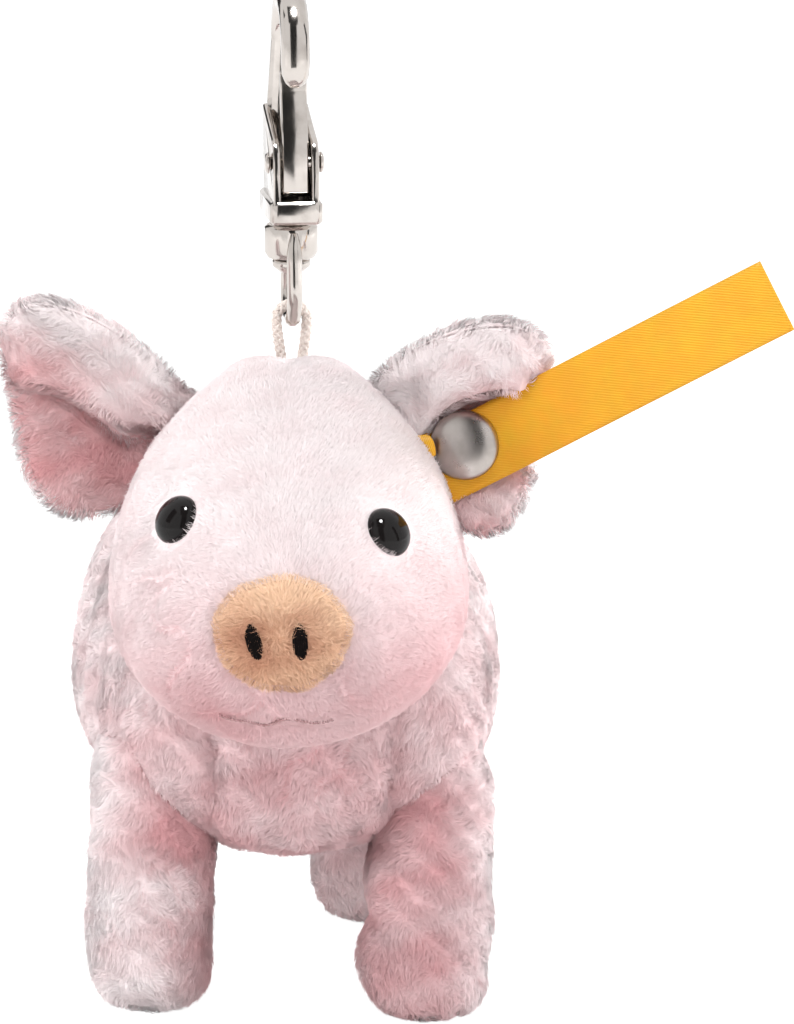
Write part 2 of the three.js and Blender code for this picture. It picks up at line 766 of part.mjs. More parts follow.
function earPieces() {
  const shankHole = solid(rod(buttonShankRadius + seatGap, 4 * ribbonLift), buttonPlace());
  const pieces = [];
  for (const [word, side] of [["left", 1], ["right", -1]]) {
    const layers = [
      ["ear_" + word + "_outer", -stackDrop, -seatGap / 2, plush],
      ["ear_" + word + "_lining", seatGap / 2, stackDrop, plushShade],
    ];
    for (const [name, low, high, material] of layers) {
      let layer = earLayerSolid(side, low, high).subtract(headSpace);
      if (side > 0) layer = layer.subtract(shankHole);
      pieces.push(meshOf(name, largest(layer), material));
    }
  }
  return pieces.concat([
    meshOf("ear_ribbon", largest(ribbonSolid()), satinRibbon),
    meshOf("ribbon_button", buttonSolid(), brushedSteel),
    meshOf("button_washer", buttonWasher(), brushedSteel),
  ]);
}

// Snout: an oval cap of short pile over the front of the head, with two embroidered nostrils.
const snoutTableShares = [
  [0, 0.9],
  [0.4, 1],
  [0.75, 0.97],
  [0.92, 0.8],
  [1, 0.5],
];

function snoutSolid(grow) {
  const frontY = headFrontY - snoutProud;
  const rings = snoutTableShares.map(([share, halfShare]) => {
    const y = frontY + snoutDepth * (1 - share) - (share * 2 - 1) * grow;
    const ring = [];
    for (let j = 0; j < coverSides; j++) {
      const turn = (2 * Math.PI * j) / coverSides;
      const x = (halfShare * snoutHalfWidth + grow) * Math.cos(turn);
      const z = snoutZ + (halfShare * snoutHalfHeight + grow) * Math.sin(turn);
      ring.push(new THREE.Vector3(x, y, z).applyMatrix4(headForm.turn));
    }
    return ring;
  });
  return solid(skin(rings));
}

function nostrilSolid(side) {
  const nostrilX = nostrilPlaceShares.x * snoutHalfWidth;
  const nostrilZ = snoutZ - nostrilPlaceShares.drop * snoutHalfHeight;
  const place = headForm.turn.clone()
    .multiply(at(side * nostrilX, headFrontY - snoutProud, nostrilZ))
    .multiply(new THREE.Matrix4().makeScale(nostrilHalfWidth, nostrilHalfDepth, nostrilHalfHeight));
  return solid(new THREE.SphereGeometry(1, nostrilSides, nostrilBands), place).subtract(snoutSolid(seatGap));
}

const mouthAlongShare = 0.106;
const mouthStartAngle = THREE.MathUtils.degToRad(-119);
const mouthEndAngle = THREE.MathUtils.degToRad(-67);

function mouthSolid() {
  const steps = 10;
  const points = [];
  for (let i = 0; i <= steps; i++) {
    const angle = THREE.MathUtils.lerp(mouthStartAngle, mouthEndAngle, i / steps);
    points.push(formPoint(headForm, mouthAlongShare, angle, seatGap + mouthThreadRadius / 2));
  }
  const rings = wireRings(new THREE.CatmullRomCurve3(points), mouthThreadRadius, steps, threadSides);
  return solid(skin(rings)).subtract(headSpace);
}

function facePieces() {
  return [
    meshOf("snout_disc", largest(snoutSolid(0).subtract(headSpace)), snoutPlush),
    meshOf("nostril_left", nostrilSolid(1), blackThread),
    meshOf("nostril_right", nostrilSolid(-1), blackThread),
    meshOf("mouth_stitch", largest(mouthSolid()), roseThread),
  ];
}

// Tail: one curl of plush tube that tapers from the rump.
const tailTurns = 1.2;
const tailSteps = 22;
const tailTipShare = 0.55;

function tailSolid() {
  const points = [];
  for (let i = 0; i <= tailSteps; i++) {
    const share = i / tailSteps;
    const turn = 2 * Math.PI * tailTurns * share;
    const y = chestY + bodyLength - tailCurlRadius / 2 + tailReach * share;
    const x = tailCurlRadius * Math.sin(turn);
    points.push(new THREE.Vector3(x, y, tailZ + tailCurlRadius * (1 - Math.cos(turn))));
  }
  const curve = new THREE.CatmullRomCurve3(points);
  const taper = (share) => THREE.MathUtils.lerp(1, tailTipShare, share);
  reportLeastGap("tail", curve, tailRadius, false);
  return solid(skin(wireRings(curve, tailRadius, tailSteps, cordSides, taper))).subtract(bodySpace);
}

// Snap hook. The bar's sections lie across a J that runs from the nose over the bow and down the spine.
const barMidRadius = bowInnerRadius + barThickness / 2;
const gateHalf = gateWidth / 2;
const cheekInner = gateHalf + seatGap;
const cheekOuter = cheekInner + cheekThickness;
const baseBackY = bowInnerRadius + barThickness;

function barSection(y, z, turn, halfWidth, halfThickness) {
  const ring = [];
  const sides = 12;
  const cornerPower = 0.75; // under 1 it squares the oval
  const outward = new THREE.Vector3(0, Math.cos(turn), Math.sin(turn));
  for (let j = 0; j < sides; j++) {
    const angle = (2 * Math.PI * (j + 0.5)) / sides;
    const fuller = (value) => Math.sign(value) * Math.abs(value) ** cornerPower;
    const point = new THREE.Vector3(halfWidth * fuller(Math.cos(angle)), y, z);
    ring.push(point.addScaledVector(outward, halfThickness * fuller(Math.sin(angle))));
  }
  return ring;
}

function barSolid() {
  const halfWidth = barWidth / 2;
  const halfThickness = barThickness / 2;
  const rings = [];
  const noseTaperShares = [[0, 0.4], [0.12, 0.72], [0.3, 0.92], [0.6, 1]];
  for (const [share, sizeShare] of noseTaperShares) {
    const z = noseTipZ + share * noseLength;
    rings.push(barSection(-barMidRadius, z, Math.PI, halfWidth * sizeShare, halfThickness * sizeShare));
  }
  const bowSteps = 12;
  for (let i = 0; i <= bowSteps; i++) {
    const turn = Math.PI * (1 - i / bowSteps);
    const y = barMidRadius * Math.cos(turn);
    const z = bowCentreZ + barMidRadius * Math.sin(turn);
    rings.push(barSection(y, z, turn, halfWidth, halfThickness));
  }
  const spineShares = [0.35, 0.7, 1];
  for (const share of spineShares) {
    const z = THREE.MathUtils.lerp(bowCentreZ, baseTopZ - baseThickness / 2, share);
    const half = THREE.MathUtils.lerp(barWidth, spineWidth, Math.min(1, share / spineShares[1])) / 2;
    rings.push(barSection(barMidRadius, z, 0, half, halfThickness));
  }
  return solid(skin(rings));
}

function cheekShape() {
  const cheekTopZ = pinZ + cheekRise;
  const frontY = -baseFrontReach + edgeRadius;
  const cheekRiseShares = { front: 2, step: 2.4 }; // above the pin, of its head's radius
  const stepZ = pinZ + cheekRiseShares.step * pinHeadRadius;
  const shape = new THREE.Shape();
  shape.moveTo(frontY, baseBottomZ + edgeRadius);
  shape.lineTo(frontY, pinZ - pinHeadRadius);
  shape.quadraticCurveTo(frontY, pinZ + cheekRiseShares.front * pinHeadRadius, pinY, stepZ);
  shape.quadraticCurveTo(bowInnerRadius / 2, cheekTopZ - pinHeadRadius, barMidRadius, cheekTopZ);
  shape.lineTo(barMidRadius, baseBottomZ + edgeRadius);
  shape.closePath();
  return shape;
}

function baseGeometry() {
  const half = baseWidth / 2;
  const baseFrontY = -baseFrontReach;
  const shape = new THREE.Shape();
  shape.moveTo(-half + baseCornerRadius, baseFrontY);
  shape.lineTo(half - baseCornerRadius, baseFrontY);
  shape.quadraticCurveTo(half, baseFrontY, half, baseFrontY + baseCornerRadius);
  shape.lineTo(half, baseBackY - baseCornerRadius);
  shape.quadraticCurveTo(half, baseBackY, half - baseCornerRadius, baseBackY);
  shape.lineTo(-half + baseCornerRadius, baseBackY);
  shape.quadraticCurveTo(-half, baseBackY, -half, baseBackY - baseCornerRadius);
  shape.lineTo(-half, baseFrontY + baseCornerRadius);
  shape.quadraticCurveTo(-half, baseFrontY, -half + baseCornerRadius, baseFrontY);
  const geometry = new THREE.ExtrudeGeometry(shape, {
    depth: baseThickness - 2 * edgeRadius,
    bevelThickness: edgeRadius,
    bevelSize: edgeRadius,
    bevelOffset: -edgeRadius,
    bevelSegments: 1,
    curveSegments: 4,
  });
  return geometry.translate(0, 0, baseBottomZ + edgeRadius);
}

function hookBodySolid() {
  let made = barSolid().add(solid(baseGeometry()));
  for (const side of [-1, 1]) {
    const cheek = acrossX(cheekShape(), cheekThickness, edgeRadius / 2);
    made = made.add(solid(cheek, at(side * (cheekInner + cheekThickness / 2), 0, 0)));
  }
  const spigotBottom = collarTopZ - cupDepth / 2;
  const spigot = turned([
    [0, spigotBottom],
    [spigotRadius - cupDepth / 3, spigotBottom],
    [spigotRadius, collarTopZ],
    [spigotRadius, baseBottomZ + edgeRadius],
    [0, baseBottomZ + edgeRadius],
  ]);
  made = made.add(solid(spigot));
  const bore = solid(rod(rivetShankRadius + seatGap, 2 * collarHeight), at(0, 0, baseBottomZ));
  const peenSpace = solid(
    rod(peenRadius + seatGap, peenThickness + 2 * seatGap + overrun),
    at(0, 0, baseTopZ - (peenThickness + 2 * seatGap) + (peenThickness + 2 * seatGap + overrun) / 2),
  );
  const pinHole = solid(rod(pinRadius + seatGap, 2 * baseWidth), at(0, pinY, pinZ).multiply(alongX));
  return made.subtract(bore).subtract(peenSpace).subtract(pinHole);
}

// Gate: a lever that turns on the pin, with its top behind the nose and its tail between the cheeks.
function gateSolid() {
  const gateTopZ = noseTipZ + gateOverlap;
  const gateTailZ = baseTopZ + gateTailClear;
  const noseBackY = -bowInnerRadius + seatGap;
  const barrel = pinRadius + seatGap + gateBarrelWall;
  const bladeShares = { back: 2.4, front: 3, face: 2 }; // above the pin, of the barrel's radius
  const bladeZ = pinZ + bladeShares.back * barrel;
  const waistZ = pinZ + bladeShares.front * barrel;
  const faceZ = pinZ + bladeShares.face * barrel;
  const shape = new THREE.Shape();
  shape.moveTo(pinY - barrel, gateTailZ + edgeRadius);
  shape.quadraticCurveTo(pinY - barrel, gateTailZ, pinY - barrel + edgeRadius, gateTailZ);
  shape.lineTo(pinY + barrel - edgeRadius, gateTailZ);
  shape.lineTo(pinY + barrel, pinZ);
  shape.quadraticCurveTo(pinY + barrel, pinZ + barrel, noseBackY + gateThickness, bladeZ);
  shape.lineTo(noseBackY + gateThickness, gateTopZ - edgeRadius);
  shape.lineTo(noseBackY + gateThickness - edgeRadius, gateTopZ);
  shape.lineTo(noseBackY + edgeRadius, gateTopZ);
  shape.lineTo(noseBackY, gateTopZ - edgeRadius);
  shape.lineTo(noseBackY, noseTipZ - 2 * seatGap);
  shape.quadraticCurveTo(noseBackY, noseTipZ - gateThickness, pinY - barrel / 2, waistZ);
  shape.quadraticCurveTo(pinY - barrel, faceZ, pinY - barrel, pinZ);
  shape.closePath();
  const pinHole = solid(rod(pinRadius + seatGap, 2 * baseWidth), at(0, pinY, pinZ).multiply(alongX));
  return solid(acrossX(shape, gateWidth, edgeRadius / 2)).subtract(pinHole);
}

function pinSolid() {
  const headIn = cheekOuter + seatGap;
  const headOut = headIn + pinHeadThickness;
  const crownShare = 0.7;
  const half = [
    [pinHeadRadius * crownShare, headOut],
    [pinHeadRadius, headOut - pinHeadThickness / 2],
    [pinHeadRadius, headIn],
    [pinRadius, headIn],
  ];
  const mirrored = half.map(([radius, height]) => [radius, -height]).reverse();
  const profile = [[0, headOut], ...half, ...mirrored, [0, -headOut]].reverse();
  return solid(turned(profile, pinSides), at(0, pinY, pinZ).multiply(alongX));
}

// Spring: a strip bent like a hairpin, one limb on the spine and the other on the back of the gate.
function springSolid() {
  const springTopZ = pinZ + springRise;
  const spineY = bowInnerRadius - seatGap;
  const gateBackY = -bowInnerRadius + seatGap + gateThickness + seatGap;
  const bendZ = baseTopZ + seatGap;
  const inner = springThickness * 2;
  const bendShares = { outer: 2.4, inner: 1.6 };
  const farY = spineY - bendShares.outer * inner;
  const nearY = spineY - bendShares.inner * inner;
  const shape = new THREE.Shape();
  shape.moveTo(spineY, pinZ);
  shape.lineTo(spineY, bendZ + inner);
  shape.quadraticCurveTo(spineY, bendZ, spineY - inner, bendZ);
  shape.quadraticCurveTo(spineY - 2 * inner, bendZ, farY, bendZ + inner);
  shape.lineTo(gateBackY, springTopZ);
  shape.lineTo(gateBackY + springThickness, springTopZ);
  shape.lineTo(farY + springThickness, bendZ + inner + springThickness);
  shape.quadraticCurveTo(nearY, bendZ + springThickness, spineY - inner, bendZ + springThickness);
  shape.quadraticCurveTo(
    spineY - springThickness,
    bendZ + springThickness,
    spineY - springThickness,
    bendZ + inner + springThickness,
  );
  shape.lineTo(spineY - springThickness, pinZ);
  shape.closePath();
  return solid(acrossX(shape, springWidth, 0));
}

// Swivel: the rivet's head is under the collar, and its other end is peened over in the hook's base.
function rivetSolid() {
  const headTop = collarBottomZ - seatGap;
  const headBottom = headTop - rivetHeadHeight;
  const peenBottom = baseTopZ - peenThickness - seatGap;
  const footShare = 0.6;
  const peenTopShare = 0.8;
  const profile = [
    [0, headBottom],
    [rivetHeadRadius * footShare, headBottom],
    [rivetHeadRadius, headBottom + rivetHeadHeight / 2],
    [rivetHeadRadius, headTop],
    [rivetShankRadius, headTop],
    [rivetShankRadius, peenBottom],
    [peenRadius, peenBottom],
    [peenRadius * peenTopShare, peenBottom + peenThickness],
    [0, peenBottom + peenThickness],
  ];
  return solid(turned(profile));
}

function swivelEyeSolid() {
  const bore = rivetShankRadius + seatGap;
  const collarFootShare = 0.88;
  const collar = solid(turned([
    [bore, collarBottomZ],
    [collarRadius * collarFootShare, collarBottomZ],
    [collarRadius, collarBottomZ + edgeRadius * 2],
    [collarRadius, collarTopZ - edgeRadius],
    [collarRadius - edgeRadius, collarTopZ],
    [cupRadius, collarTopZ],
    [bore + seatGap, collarTopZ - cupDepth],
    [bore, collarTopZ - cupDepth - seatGap],
    [bore, collarBottomZ],
  ], coverSides));
  const shoulderZ = collarTopZ - edgeRadius * 2;
  const arcZ = eyeWireZ + eyeHalfDepth;
  const path = new THREE.CurvePath();
  path.add(new THREE.LineCurve3(
    new THREE.Vector3(0, -eyeHalfDepth + eyeWireRadius / 2, shoulderZ),
    new THREE.Vector3(0, -eyeHalfDepth, arcZ),
  ));
  const arcPoints = [];
  const arcSteps = 8;
  for (let i = 0; i <= arcSteps; i++) {
    const turn = Math.PI * (1 + i / arcSteps);
    arcPoints.push(new THREE.Vector3(0, eyeHalfDepth * Math.cos(turn), arcZ + eyeHalfDepth * Math.sin(turn)));
  }
  path.add(new THREE.CatmullRomCurve3(arcPoints));
  path.add(new THREE.LineCurve3(
    new THREE.Vector3(0, eyeHalfDepth, arcZ),
    new THREE.Vector3(0, eyeHalfDepth - eyeWireRadius / 2, shoulderZ),
  ));
  const taperShares = { length: 0.08, end: 0.45 };
  const taper = (share) => {
    const inward = Math.min(1, Math.min(share, 1 - share) / taperShares.length);
    return THREE.MathUtils.lerp(taperShares.end, 1, inward);
  };
  const wireSteps = 22;
  const wire = solid(skin(wireRings(path, eyeWireRadius, wireSteps, wireSides, taper)));
  const clearPlace = at(0, 0, collarBottomZ - collarHeight / 2);
  const clear = solid(rod(rivetHeadRadius + seatGap, collarHeight), clearPlace);
  const boreCut = solid(rod(bore, 2 * collarHeight), at(0, 0, collarTopZ - collarHeight / 2));
  return wire.subtract(clear).subtract(boreCut).add(collar);
}

// Cord loop: a teardrop that hangs from the eye's lowest wire, with its point in the crown's seam.
function loopSolid() {
  const bight = eyeWireRadius + seatGap + cordRadius;
  const points = [];
  const bightSteps = 6;
  for (let i = 0; i <= bightSteps; i++) {
    const turn = Math.PI * (i / bightSteps);
    points.push(new THREE.Vector3(bight * Math.cos(turn), 0, eyeWireZ + bight * Math.sin(turn)));
  }
  const downShares = [0.3, 0.62, 0.9];
  const closingPower = 1.4; // over 1 it keeps the strands apart near the eye
  const fall = eyeWireZ - rootZ;
  const left = downShares.map((share) => {
    const x = THREE.MathUtils.lerp(bight, rootHalfWidth, share ** closingPower);
    return new THREE.Vector3(x, 0, eyeWireZ - share * fall);
  });
  left.forEach((p) => points.push(new THREE.Vector3(-p.x, 0, p.z)));
  const rootSteps = 4;
  for (let i = 1; i < rootSteps; i++) {
    const turn = Math.PI * (1 + i / rootSteps);
    points.push(new THREE.Vector3(rootHalfWidth * Math.cos(turn), 0, rootZ + rootHalfWidth * Math.sin(turn)));
  }
  left.reverse().forEach((p) => points.push(p));
  const curve = new THREE.CatmullRomCurve3(points, true);
  reportLeastGap("hang_loop", curve, cordRadius, true);
  const cordSteps = 32;
  return solid(skin(wireRings(curve, cordRadius, cordSteps, cordSides, () => 1, true), true));
}

const pig = new THREE.Group();
pig.add(
  meshOf("hook_body", hookBodySolid(), nickel),
  meshOf("hook_gate", gateSolid(), nickel),
  meshOf("gate_pin", pinSolid(), nickel),
  meshOf("gate_spring", springSolid(), nickel),
  meshOf("swivel_rivet", rivetSolid(), nickel),
  meshOf("swivel_eye", swivelEyeSolid(), nickel),
  meshOf("hang_loop", loopSolid(), creamCord),
  ...headPieces(),
  ...bodyPieces(),
  ...legs.flatMap(legPieces),
  ...earPieces(),
  ...facePieces(),
  meshOf("tail", largest(tailSolid()), plush),
);

// The origin goes to the inner top of the bow, where the hook hangs.
pig.position.z = -(bowCentreZ + bowInnerRadius);

export default pig;
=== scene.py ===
"""Plush pig on a trigger snap hook: its looks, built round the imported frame.

The sections follow the toy as it is put together: hook, swivel, cord loop, stuffed skins, face, tail,
ribbon, and last the pile that is brushed out over all the plush. Sizes are in millimetres, with heights
above the soles, and are turned into metres of the row frame when a mesh is made.
"""
import math

import bmesh
import bpy
import numpy as np
from mathutils import Matrix, Vector, kdtree
from mathutils.bvhtree import BVHTree


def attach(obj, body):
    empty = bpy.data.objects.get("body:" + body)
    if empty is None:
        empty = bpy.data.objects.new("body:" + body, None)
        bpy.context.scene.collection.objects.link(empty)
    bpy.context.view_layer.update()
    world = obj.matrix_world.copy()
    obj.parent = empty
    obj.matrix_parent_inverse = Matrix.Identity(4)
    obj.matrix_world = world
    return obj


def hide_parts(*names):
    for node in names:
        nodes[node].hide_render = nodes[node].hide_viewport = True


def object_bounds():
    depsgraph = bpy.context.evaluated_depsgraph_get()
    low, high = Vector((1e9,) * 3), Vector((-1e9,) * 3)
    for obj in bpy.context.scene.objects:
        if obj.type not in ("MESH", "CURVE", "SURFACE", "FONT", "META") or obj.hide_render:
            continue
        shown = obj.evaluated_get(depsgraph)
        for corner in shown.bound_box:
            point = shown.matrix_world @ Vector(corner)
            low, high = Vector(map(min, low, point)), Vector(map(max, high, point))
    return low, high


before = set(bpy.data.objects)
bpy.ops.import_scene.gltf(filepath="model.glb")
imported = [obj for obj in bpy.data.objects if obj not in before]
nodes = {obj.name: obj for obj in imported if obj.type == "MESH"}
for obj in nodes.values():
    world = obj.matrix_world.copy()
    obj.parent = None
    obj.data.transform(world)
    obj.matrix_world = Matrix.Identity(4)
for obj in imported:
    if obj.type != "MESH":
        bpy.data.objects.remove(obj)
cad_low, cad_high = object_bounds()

MM = 0.001
sole_z = cad_low.z / MM

# Camera: a long lens, a little above the pig's back and a little to its right.
# It looks at the middle of the toy, hook and ribbon included.
view_distance = 520
view_aim = Vector((12.9, -1.9, -62.4))


def out_from_toy(azimuth, elevation):
    """The way out from the toy, so many degrees round from its front and so many up."""
    turn = math.radians(azimuth)
    rise = math.radians(elevation)
    return Vector((math.sin(turn) * math.cos(rise), -math.cos(turn) * math.cos(rise), math.sin(rise)))


to_camera = out_from_toy(-8, 13)
lens = bpy.data.cameras.new("camera")
lens.lens = 146.25
lens.clip_start = 0.01
camera = bpy.data.objects.new("camera", lens)
camera.location = (view_aim + to_camera * view_distance) * MM
camera.rotation_euler = (-to_camera).to_track_quat("-Z", "Y").to_euler()
bpy.context.scene.collection.objects.link(camera)
bpy.context.scene.camera = camera

# Studio: a wide white floor under the soles, white all round, and soft lamps at both sides and in front.
# Floor and world show white to the camera and in reflections, and light the toy at a plain level.
bpy.context.scene.view_settings.view_transform = "Standard"


def link_object(name, data):
    made = bpy.data.objects.new(name, data)
    bpy.context.scene.collection.objects.link(made)
    return made


def add_node(tree, kind, *sources, named=None, **settings):
    """A node with its settings. Its inputs, in order or by name, are linked to sockets or set to values."""
    made = tree.nodes.new(kind)
    for name, value in settings.items():
        setattr(made, name, value)
    for key, source in [*enumerate(sources), *(named or {}).items()]:
        if isinstance(source, bpy.types.NodeSocket):
            tree.links.new(source, made.inputs[key])
        else:
            made.inputs[key].default_value = source
    return made


def any_ray(tree, *kinds):
    """One where a ray is of any of the kinds, and nought where it is of none."""
    path = add_node(tree, "ShaderNodeLightPath")
    found = path.outputs[kinds[0]]
    for kind in kinds[1:]:
        found = add_node(tree, "ShaderNodeMath", found, path.outputs[kind], operation="MAXIMUM").outputs[0]
    return found


def flat_card(name, half_width, half_height, z=0.0):
    corners = [(-half_width, -half_height, z), (half_width, -half_height, z)]
    corners += [(half_width, half_height, z), (-half_width, half_height, z)]
    made = bpy.data.meshes.new(name)
    made.from_pydata(corners, [], [(0, 1, 2, 3)])
    return link_object(name, made)


world = bpy.data.worlds.new("studio")
bpy.context.scene.world = world
world.use_nodes = True
tree = world.node_tree
seen = any_ray(tree, "Is Camera Ray", "Is Glossy Ray", "Is Transmission Ray")
ray_way = add_node(tree, "ShaderNodeSeparateXYZ", add_node(tree, "ShaderNodeTexCoord").outputs["Generated"])
front_fill = 0.51
back_fill = 1.5
fill = add_node(tree, "ShaderNodeMapRange", ray_way.outputs[1], -0.2, 0.6, front_fill, back_fill)
strength = add_node(tree, "ShaderNodeMapRange", seen, 0.0, 1.0, fill.outputs[0], 1.0)
background = tree.nodes["Background"]
background.inputs["Color"].default_value = (1, 1, 1, 1)
tree.links.new(strength.outputs[0], background.inputs["Strength"])

floor_reach = 3
floor = flat_card("floor", floor_reach, floor_reach, cad_low.z)
floor_paint = bpy.data.materials.new("floor_paint")
floor_paint.use_nodes = True
tree = floor_paint.node_tree
tree.nodes.clear()
floor_white = add_node(tree, "ShaderNodeBsdfDiffuse", (0.8, 0.8, 0.8, 1))
floor_seen = add_node(tree, "ShaderNodeBsdfDiffuse", (0.3, 0.3, 0.3, 1))
floor_glow = add_node(tree, "ShaderNodeEmission", (1, 1, 1, 1), 0.93)
bright = add_node(tree, "ShaderNodeAddShader", floor_seen.outputs[0], floor_glow.outputs[0])
seen = any_ray(tree, "Is Camera Ray", "Is Glossy Ray")
blend = add_node(tree, "ShaderNodeMixShader", seen, floor_white.outputs[0], bright.outputs[0])
add_node(tree, "ShaderNodeOutputMaterial", blend.outputs[0])
floor.data.materials.append(floor_paint)


def softbox(name, azimuth, elevation, size, energy, mirrored=False):
    """A round soft lamp a metre from the toy, or if it is mirrored one that makes only highlights."""
    out = out_from_toy(azimuth, elevation)
    data = bpy.data.lights.new(name, "AREA")
    data.shape = "DISK"
    data.size = size
    data.energy = energy
    lamp = link_object(name, data)
    lamp.location = view_aim * MM + out
    lamp.rotation_euler = (-out).to_track_quat("-Z", "Y").to_euler()
    lamp.visible_glossy = mirrored
    lamp.visible_diffuse = not mirrored


softbox("highlight_lamp", 8, 76, 0.22, 12, mirrored=True)
softbox("low_softbox", 30, 6, 0.4, 2.8)
softbox("low_front_softbox", -8, 1, 0.3, 0.8)
softbox("left_softbox", -70, 15, 0.4, 4.5)
softbox("left_top_softbox", -40, 58, 0.4, 2.4)
softbox("right_top_softbox", 50, 58, 0.4, 1.6)
softbox("right_softbox", 96, 12, 0.4, 6.4)

# Snap hook: a zinc casting with a sprung gate on a pin, all nickel plated and polished.
# The castings come from the frame: their facets are welded and smoothed, and their edges rounded.


def shader_group(name, inputs, outputs):
    """A shader node group with named sockets. Returns its tree and its input and output nodes."""
    made = bpy.data.node_groups.new(name, "ShaderNodeTree")
    kinds = {"value": "NodeSocketFloat", "colour": "NodeSocketColor"}
    for direction, sockets in (("INPUT", inputs), ("OUTPUT", outputs)):
        for socket_name, kind in sockets.items():
            made.interface.new_socket(name=socket_name, in_out=direction, socket_type=kinds[kind])
    return made, made.nodes.new("NodeGroupInput"), made.nodes.new("NodeGroupOutput")


def use_group(tree, group, **values):
    return add_node(tree, "ShaderNodeGroup", node_tree=group, named=values)


def close_group(tree, group_out, **sources):
    for name, source in sources.items():
        tree.links.new(source, group_out.inputs[name])


def mixed(tree, factor, first, second, **settings):
    """The colour that lies between two colours by a factor."""
    ends = {"Factor": factor, "A": first, "B": second}
    return add_node(tree, "ShaderNodeMix", data_type="RGBA", named=ends, **settings).outputs["Result"]


def new_material(name, **settings):
    """A material with a Principled shader, whose constants are set on its own sockets."""
    made = bpy.data.materials.new(name)
    made.use_nodes = True
    shader = made.node_tree.nodes["Principled BSDF"]
    for socket, value in settings.items():
        shader.inputs[socket.replace("_", " ")].default_value = value
    return made, made.node_tree, shader


def paint(tree, shader, colour, roughness=None):
    tree.links.new(colour, shader.inputs["Base Color"])
    if roughness is not None:
        tree.links.new(roughness, shader.inputs["Roughness"])


def add_bump(tree, shader, height, strength, distance):
    bump = add_node(tree, "ShaderNodeBump")
    bump.inputs["Strength"].default_value = strength
    bump.inputs["Distance"].default_value = distance * MM
    tree.links.new(height, bump.inputs["Height"])
    tree.links.new(bump.outputs[0], shader.inputs["Normal"])


plating, group_in, group_out = shader_group(
    "worn_plating",
    {"Bright": "colour", "Dull": "colour", "Smooth": "value", "Rough": "value"},
    {"Colour": "colour", "Roughness": "value", "Height": "value"},
)
place = add_node(plating, "ShaderNodeTexCoord").outputs["Object"]
cloud = add_node(plating, "ShaderNodeTexNoise", place, named={"Scale": 350, "Detail": 4}).outputs[0]
streak_space = add_node(plating, "ShaderNodeMapping", place, named={"Scale": (1, 1, 0.12)}).outputs[0]
streak = add_node(plating, "ShaderNodeTexNoise", streak_space, named={"Scale": 4200, "Detail": 2})
edge = add_node(plating, "ShaderNodeNewGeometry").outputs["Pointiness"]
edge = add_node(plating, "ShaderNodeMapRange", edge, 0.5, 0.62, 0.0, 1.0)
rub = add_node(plating, "ShaderNodeMath", cloud, edge.outputs[0], operation="MULTIPLY")
spot = add_node(plating, "ShaderNodeMapRange", cloud, 0.42, 0.72, 0.0, 1.0)
dull = add_node(plating, "ShaderNodeMath", spot.outputs[0], rub.outputs[0], operation="MAXIMUM").outputs[0]
colour = mixed(plating, dull, group_in.outputs["Bright"], group_in.outputs["Dull"])
finish = (group_in.outputs["Smooth"], group_in.outputs["Rough"])
rough = add_node(plating, "ShaderNodeMapRange", dull, 0.0, 1.0, *finish)
close_group(plating, group_out, Colour=colour, Roughness=rough.outputs[0], Height=streak.outputs[0])


def plated(name, bright, dull, smooth, rough, scratch):
    """A plated metal with dull spots, rubbed edges and fine scratches."""
    made, tree, shader = new_material(name, Metallic=1.0)
    worn = use_group(tree, plating, Bright=(*bright, 1), Dull=(*dull, 1), Smooth=smooth, Rough=rough)
    paint(tree, shader, worn.outputs["Colour"], worn.outputs["Roughness"])
    add_bump(tree, shader, worn.outputs["Height"], 0.25, scratch)
    return made


weld_gap = 0.002
sharp_angle = math.radians(32)


def dress_node(name, material, edge_radius=0.0):
    """A casting of the frame with its facets welded and smoothed and its edges rounded."""
    piece = nodes[name]
    piece.data.materials.clear()
    piece.data.materials.append(material)
    piece.data.shade_smooth()
    joined = piece.modifiers.new("weld", "WELD")
    joined.merge_threshold = weld_gap * MM
    if edge_radius:
        rounded = piece.modifiers.new("edges", "BEVEL")
        rounded.width = edge_radius * MM
        rounded.segments = 2
        rounded.limit_method = "ANGLE"
        rounded.angle_limit = sharp_angle
        rounded.harden_normals = True
    else:
        parted = piece.modifiers.new("edges", "EDGE_SPLIT")
        parted.split_angle = sharp_angle
    return piece


nickel = plated("nickel", (0.62, 0.575, 0.54), (0.5, 0.455, 0.42), 0.09, 0.22, 0.004)
spring_steel = plated("spring_steel", (0.45, 0.42, 0.4), (0.34, 0.31, 0.29), 0.22, 0.4, 0.006)
for name in ("hook_body", "hook_gate", "gate_pin", "swivel_rivet"):
    dress_node(name, nickel, edge_radius=0.12)
dress_node("gate_spring", spring_steel)

# Swivel eye: a turned collar with a bent wire eye under it, in the same plating.
# The rivet through the collar lets it turn under the hook.
dress_node("swivel_eye", nickel, edge_radius=0.08)

# Dark flags: black cards round the toy, which show in nothing but reflections.
# The polished metal and the eyes get their dark streaks from them.
flag_paint, tree, shader = new_material("flag_cloth", Roughness=1.0)
weave = add_node(tree, "ShaderNodeTexNoise", named={"Scale": 30})
black = add_node(tree, "ShaderNodeMapRange", weave.outputs[0], 0.0, 1.0, 0.004, 0.02)
paint(tree, shader, black.outputs[0])


def dark_flag(name, azimuth, elevation, distance, width, height):
    """A card that faces the toy."""
    out = out_from_toy(azimuth, elevation)
    flag = flat_card(name, width / 2, height / 2)
    flag.data.materials.append(flag_paint)
    flag.location = view_aim * MM + out * distance
    flag.rotation_euler = (-out).to_track_quat("-Z", "Y").to_euler()
    flag.visible_camera = False
    flag.visible_diffuse = False
    flag.visible_shadow = False


